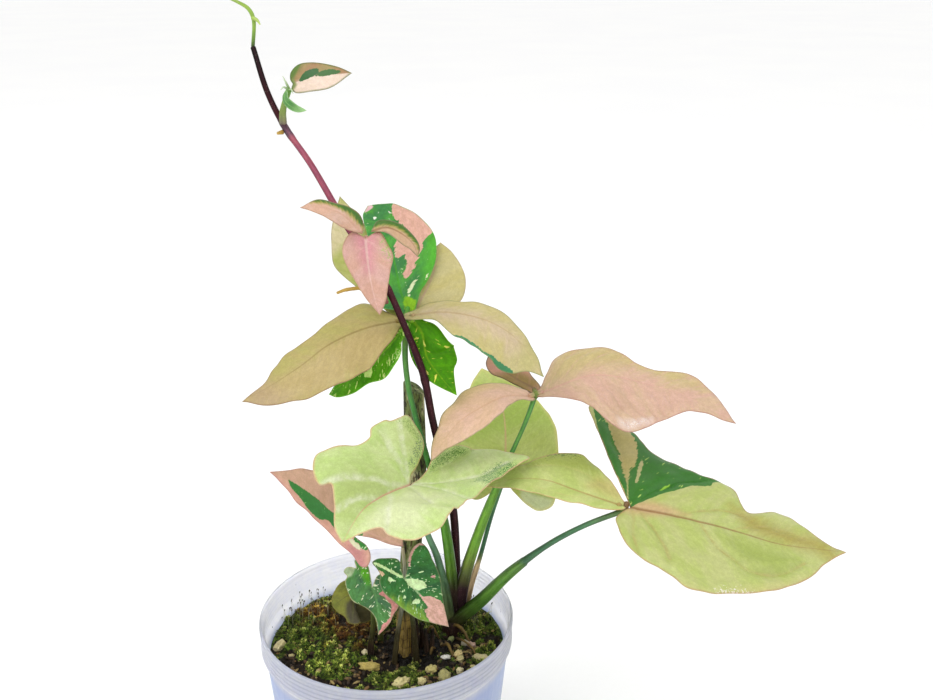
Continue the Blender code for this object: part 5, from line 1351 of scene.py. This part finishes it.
def make_soil():
    """The potting mix with a finely crumbed top."""
    sides, rings, side_rings = 256, 110, 30
    turns = 2 * math.pi * np.arange(sides) / sides
    reach = soil_radius(SOIL_LEVEL - 4)
    vertices = [(0, 0, soil_height(0, 0))]
    for ring in range(1, rings + 1):
        r = reach * ring / rings
        for turn in turns:
            x, y = r * math.cos(turn), r * math.sin(turn)
            spot = Vector((x, y, 0))
            rough = 1.6 * noise.noise(spot / 3.4) + 0.9 * noise.noise(spot / 1.2 + Vector((9, 3, 0)))
            inner = min(1, (reach - r) / 2)
            height = min(soil_height(x, y), POT_HEIGHT - RIM_BAND - 1) + (rough + cushion(x, y) - 0.4) * inner
            vertices.append((x, y, height))
    for k in range(1, side_rings + 1):
        z = (SOIL_LEVEL - 4) + (2 * FLOOR + 0.4 - SOIL_LEVEL + 4) * k / side_rings
        for turn in turns:
            r = soil_radius(z) - 0.25 * abs(noise.noise(Vector((turn * BODY_RADIUS, z, 0)) * 0.2))
            vertices.append((r * math.cos(turn), r * math.sin(turn), z))
    floor = FLOOR + 0.35
    vertices += [((BASE_RADIUS - 3.1) * math.cos(t), (BASE_RADIUS - 3.1) * math.sin(t), floor) for t in turns]
    vertices.append((0, 0, floor))
    last = len(vertices) - 1
    faces = []
    for k in range(sides):
        n = (k + 1) % sides
        faces.append((0, 1 + k, 1 + n))
        for ring in range(rings + side_rings):
            a, b = 1 + ring * sides + k, 1 + ring * sides + n
            faces.append((a, a + sides, b + sides, b))
        faces.append((last, last - sides + n, last - sides + k))
    soil = add_object("soil_fine", vertices, faces, [soil_material()], ["soil"])
    write(soil.data, "moss", "FLOAT", [min(max(moss_amount(x, y), 0), 1) for x, y, _ in vertices])
    write(soil.data, "brown", "FLOAT", [min(max(moss_brown(x, y) * 1.6 - 0.3, 0), 1) for x, y, _ in vertices])


def grain_material(name, dark="#6a5632", rough_low=0.55):
    p = Painter(name)
    place = p.place()
    paint = p.paint()
    grain = p.noise(place, 0.8, 5, 0.7)
    broad = p.noise(place, 2.5, 3, 0.6)
    paint = p.mix(p.step(grain, 0.5, 0.72, 0, 0.7), paint, dark, "MULTIPLY")
    paint = p.mix(p.step(broad, 0.4, 0.7, 0, 0.4), paint, "#fff6dc", "SOFT_LIGHT")
    paint = p.mix(p.step(grain, 0.62, 0.7, 0, 0.7), paint, "#3c2c18")
    normal = p.bump(p.plus(grain, broad), 0.5)
    rough = p.step(broad, 0.3, 0.7, rough_low, 0.85)
    return p.finish(Base_Color=paint, Roughness=rough, Normal=normal, Specular_IOR_Level=0.4)


def rough_chip(place, halves, turn, cuts=7):
    """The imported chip's rough form with its corners worn and its faces pitted."""
    draw = random.Random(round(place[0] * 10 + place[1]))
    shape = bmesh.new()
    bmesh.ops.create_icosphere(shape, subdivisions=1, radius=1)
    for v in shape.verts:
        v.co *= draw.uniform(0.85, 1.15)
    bmesh.ops.subdivide_edges(shape, edges=shape.edges[:], cuts=cuts, use_grid_fill=True)
    for v in shape.verts:
        v.co = v.co.lerp(v.co.normalized() * 0.98, 0.2)
        seat = Vector(place).to_3d()
        v.co *= 1 + 0.34 * noise.noise(v.co * 2.2 + seat) + 0.16 * noise.noise(v.co * 6 + seat)
    x, y = place
    z = soil_height(x, y) + 0.2
    cos, sin = math.cos(math.radians(turn)), math.sin(math.radians(turn))
    spots = np.array([v.co for v in shape.verts]) * halves
    points = np.column_stack([x + spots[:, 0] * cos - spots[:, 1] * sin,
                              y + spots[:, 0] * sin + spots[:, 1] * cos, z + spots[:, 2]])
    faces = [tuple(v.index for v in f.verts) for f in shape.faces]
    shape.free()
    return points, faces


def make_chips():
    skin = grain_material("chip_skin")
    for k, (place, halves, turn, tint) in enumerate(CHIPS, 1):
        heap = Heap()
        heap.add(*rough_chip(place, halves, turn), colour(tint))
        heap.make(f"chip_{k}_fine", skin, [f"chip_{k}"])
    heap = Heap()
    for place, halves, turn, tint in PEBBLES:
        heap.add(*rough_chip(place, halves, turn, 4), colour(tint))
    draw = random.Random(5)
    for _ in range(GRIT_PIECES):
        place = scattered(draw)
        size = draw.uniform(0.3, 0.95)
        halves = (size * draw.uniform(0.8, 3.2), size, size * 0.8)
        # Painted shadow: grit near the stump's foot, under the leaves, is painted darker.
        shade = 0.85 - 0.7 * near(*place, 14, -5, 14)
        heap.add(*rough_chip(place, halves, draw.uniform(0, 180), 1),
                 np.array(colour(draw.choice(GRIT_TONES))) * shade)
    heap.make("grit", skin)


def stone_cover(x, y):
    """How far a place lies on a chip or a pebble, from 0 to 1."""
    cover = 0
    for (cx, cy), (wide, deep, _), turn, _ in CHIPS + PEBBLES:
        if abs(x - cx) + abs(y - cy) < 3 * wide:
            cos, sin = math.cos(math.radians(turn)), math.sin(math.radians(turn))
            a, b = (x - cx) * cos + (y - cy) * sin, (y - cy) * cos - (x - cx) * sin
            cover = max(cover, math.exp(-((a / wide) ** 2 + (b / deep) ** 2) ** 2 * 0.4))
    return cover


def moss_amount(x, y):
    """How thick the moss stands at a place: a mound at the back left, none in the hollow."""
    clumps = noise.noise(Vector((x, y, 40)) / 3.8) + 0.7 * noise.noise(Vector((x, y, 7)) / 11)
    amount = 0.72 + 1.7 * clumps
    amount += 0.5 * near(x, y, -34, 24, 20)
    amount += 0.45 * near(x, y, -26, -18, 13)
    amount -= 2.2 * near(x, y, 11, -2, 14)
    amount -= 0.5 * near(x, y, 30, -10, 14)
    bare = distance_to(np.array([(x, y)]), np.array(FURROW))[0]
    return amount - 1.8 * math.exp(-(bare / FURROW_WIDTH) ** 2) - 2.5 * stone_cover(x, y)


def moss_brown(x, y):
    """How much of the moss has gone brown at a place."""
    brown = near(x, y, -20, 8, 14) + 0.35 * near(x, y, -6, -2, 9)
    brown += 0.7 * near(x, y, -38, 26, 12)
    return brown + 0.6 * noise.noise(Vector((x, y, 9)) / 5)


def moss_painted_light(x, y):
    """Painted light on the moss: brightest at the front left, fair at the front and on the back mound."""
    light = 0.5 + 0.7 * near(x, y, -31, -21, 13)
    light += 0.4 * math.exp(-((x - 10) / 18) ** 2 - ((y + 38) / 9) ** 2)
    return light + 0.45 * near(x, y, -38, 26, 14)


def lump(x, y):
    """The small cushions and gaps of the moss, from about -1 to 1."""
    return 1.1 * noise.noise(Vector((x, y, 3)) / 2.9) + 0.6 * noise.noise(Vector((x, y, 8)) / 1.2)


def cushion(x, y):
    """How far the moss stands above the potting mix."""
    left = 2.6 * near(x, y, -44, 4, 17)
    return max(0, min(moss_amount(x, y), 1.2)) * (1.1 + left + 1.9 * lump(x, y))


def make_moss():
    """Thousands of tiny leafy sprigs fused into two green mats and a brown one."""
    draw = random.Random(11)
    greens = [colour(c) for c in MOSS_GREENS]
    browns = [colour(c) for c in MOSS_BROWNS]
    mats = {"front_moss": ([], []), "back_moss": ([], []), "brown_moss": ([], [])}
    for _ in range(MOSS_TRIES):
        x, y = scattered(draw)
        amount = moss_amount(x, y)
        if draw.random() > amount:
            continue
        brown = moss_brown(x, y) > draw.uniform(0.25, 0.7)
        points, paint = mats["brown_moss" if brown else "front_moss" if y < 0 else "back_moss"]
        # Painted light and shade: sprigs low in the gaps between cushions are painted dark and those on the
        # cushion tops are painted light.
        high = min(max(0.5 + 0.7 * lump(x, y), 0), 1)
        tones = browns if brown else greens
        tint = np.array(tones[min(5, int(high * 4.5 + draw.uniform(0, 1.8)))]) * (0.07 + 1.6 * high ** 2.1)
        tint *= moss_painted_light(x, y)
        foot = np.array([x, y, soil_height(x, y) - 0.7 + cushion(x, y)])
        tall = draw.uniform(0.55, 1.1) * min(1.2, 0.6 + amount * 0.4)
        for _ in range(SPRIG_LEAVES):
            swing = draw.uniform(0, 2 * math.pi)
            lean = draw.uniform(0.2, 1.3)
            tip = foot + np.array([math.cos(swing) * lean, math.sin(swing) * lean, 1]) * tall
            side = np.array([-math.sin(swing), math.cos(swing), 0]) * draw.uniform(0.15, 0.28)
            away = np.array([math.cos(swing), math.sin(swing), 0.2]) * 0.16
            middle = foot + (tip - foot) * 0.45
            points += [foot, middle + side, middle - side, middle + away, tip]
            shade = draw.uniform(0.6, 1.1)
            paint += [tint * 0.25, tint * shade, tint * shade, tint * shade * 0.8, tint * shade * 1.3]
    skin = grain_material("moss_skin", "#5a6a2a", 0.6)
    for name, (points, paint) in mats.items():
        faces = []
        for k in range(0, len(points), 5):
            faces += [(k, k + 2, k + 3), (k, k + 3, k + 1), (k, k + 1, k + 2), (k + 4, k + 3, k + 2),
                      (k + 4, k + 1, k + 3), (k + 4, k + 2, k + 1)]
        heap = Heap()
        heap.add(points, faces, paint)
        heap.make(name, skin, smooth=False)


def make_spore_stalks():
    """Hair-thin moss stalks with dark tips, at the back left and a few at the right."""
    draw = random.Random(3)
    heap = Heap()
    for cx, cy, spread in [(-42, 22, 9)] * SPORE_STALKS_LEFT + [(42, 16, 5)] * SPORE_STALKS_RIGHT:
        x, y = draw.gauss(cx, spread), draw.gauss(cy, spread * 0.7)
        if math.hypot(x, y) > SPREAD_RADIUS:
            continue
        z = soil_height(x, y)
        lean, tall = draw.uniform(-1.5, 1.5), draw.uniform(4, 14)
        way = [(x, y, z), (x + lean * 0.3, y, z + tall * 0.6), (x + lean, y + draw.uniform(-1, 1), z + tall)]
        points, faces, run, share = tube(way, [0.06, 0.05, 0.05], 5, 2.0)
        heap.add(points, faces, ramp([(0, "#8a8a4c"), (0.6, "#c9c6ae"), (1, "#6a5a40")], share), run)
        points, faces, run, share = tube([way[-1], (way[-1][0] + 0.3, way[-1][1], way[-1][2] + 1.1)],
                                         [0.12, 0.26, 0.1], 8, 0.4)
        heap.add(points, faces, colour("#2c2016"), run)
    heap.make("spore_stalks", stem_material("spore_skin", "#3a2410", 0.3, 0.6))


def make_roots():
    """Thin roots, dead stalks and a pale sprout beside the stems."""
    tan = [(0, "#3f2e1c"), (0.5, "#7a6434"), (1, "#5a4628")]
    dark = [(0, "#1c1410"), (0.5, "#33241a"), (1, "#3c2e20")]
    heap = Heap()
    for way, size in THIN_ROOTS:
        add_stem(heap, dict(way=way, radii=[size, size * 0.9, size * 0.6]), tan, sides=10, step=0.8)
    for way in OLD_STUBS:
        add_stem(heap, dict(way=way, radii=[0.7, 1.1, 1.3]), dark, sides=12, step=0.8)
    heap.make("thin_roots", stem_material("root_skin", "#3a2410", 0.5, 0.6))
    heap = Heap()
    add_stem(heap, SPROUT, [(0, "#9fae6a"), (1, "#d6dca8")], sides=12, step=0.5)
    heap.make("sprout", stem_material("sprout_skin", "#7a8a40", 0.2))


def make_floor():
    p = Painter("pale_floor")
    place = p.place()
    broad = p.noise(place, 400, 3, 0.5)
    fine = p.noise(place, 3, 3, 0.6)
    paint = p.mix(p.step(broad, 0.3, 0.7), "#fbfbfb", "#fdfdfc")
    paint = p.mix(p.step(fine, 0.4, 0.7, 0, 0.1), paint, "#f2f2f0")
    rough = p.step(fine, 0.3, 0.7, 0.7, 0.8)
    material = p.finish(Base_Color=paint, Roughness=rough, Normal=p.bump(fine, 0.02), Specular_IOR_Level=0.1)
    mesh = bpy.data.meshes.new("floor")
    corners = [(-1, -1), (1, -1), (1, 1), (-1, 1)]
    mesh.from_pydata([(x * FLOOR_REACH, y * FLOOR_REACH, 0) for x, y in corners], [], [(0, 1, 2, 3)])
    mesh.materials.append(material)
    floor = bpy.data.objects.new("floor", mesh)
    bpy.context.scene.collection.objects.link(floor)


def add_light(name, place, power):
    lamp = bpy.data.lights.new(name, "AREA")
    lamp.shape = "SQUARE"
    lamp.size = LAMP_SIZE
    lamp.energy = power
    thing = bpy.data.objects.new(name, lamp)
    thing.location = place
    thing.rotation_euler = (Vector(LAMP_AIM) - Vector(place)).to_track_quat("-Z", "Y").to_euler()
    bpy.context.scene.collection.objects.link(thing)


def make_studio():
    scene = bpy.context.scene
    world = bpy.data.worlds.new("studio")
    world.use_nodes = True
    sky = world.node_tree.nodes["Background"]
    sky.inputs["Color"].default_value = (1, 1, 1, 1)
    sky.inputs["Strength"].default_value = 1.0
    scene.world = world
    for name, place, power in LAMPS:
        add_light(name, place, power)
    scene.view_settings.view_transform = "Standard"
    camera = bpy.data.objects.new("camera", bpy.data.cameras.new("camera"))
    camera.data.sensor_width = SENSOR_WIDTH
    camera.data.lens = CAMERA_LENS
    camera.data.clip_start = 0.01
    camera.data.clip_end = 100
    camera.location = CAMERA_PLACE
    camera.rotation_euler = (math.radians(CAMERA_TILT), 0, 0)
    scene.collection.objects.link(camera)
    scene.camera = camera


def main():
    make_pot()
    make_soil()
    make_chips()
    make_moss()
    make_spore_stalks()
    make_roots()
    make_stump()
    make_climbing_stem()
    make_stalks()
    for name, blade in BLADES.items():
        make_blade(name, blade, LOOKS[name])
    make_floor()
    make_studio()
    bpy.context.view_layer.update()


main()
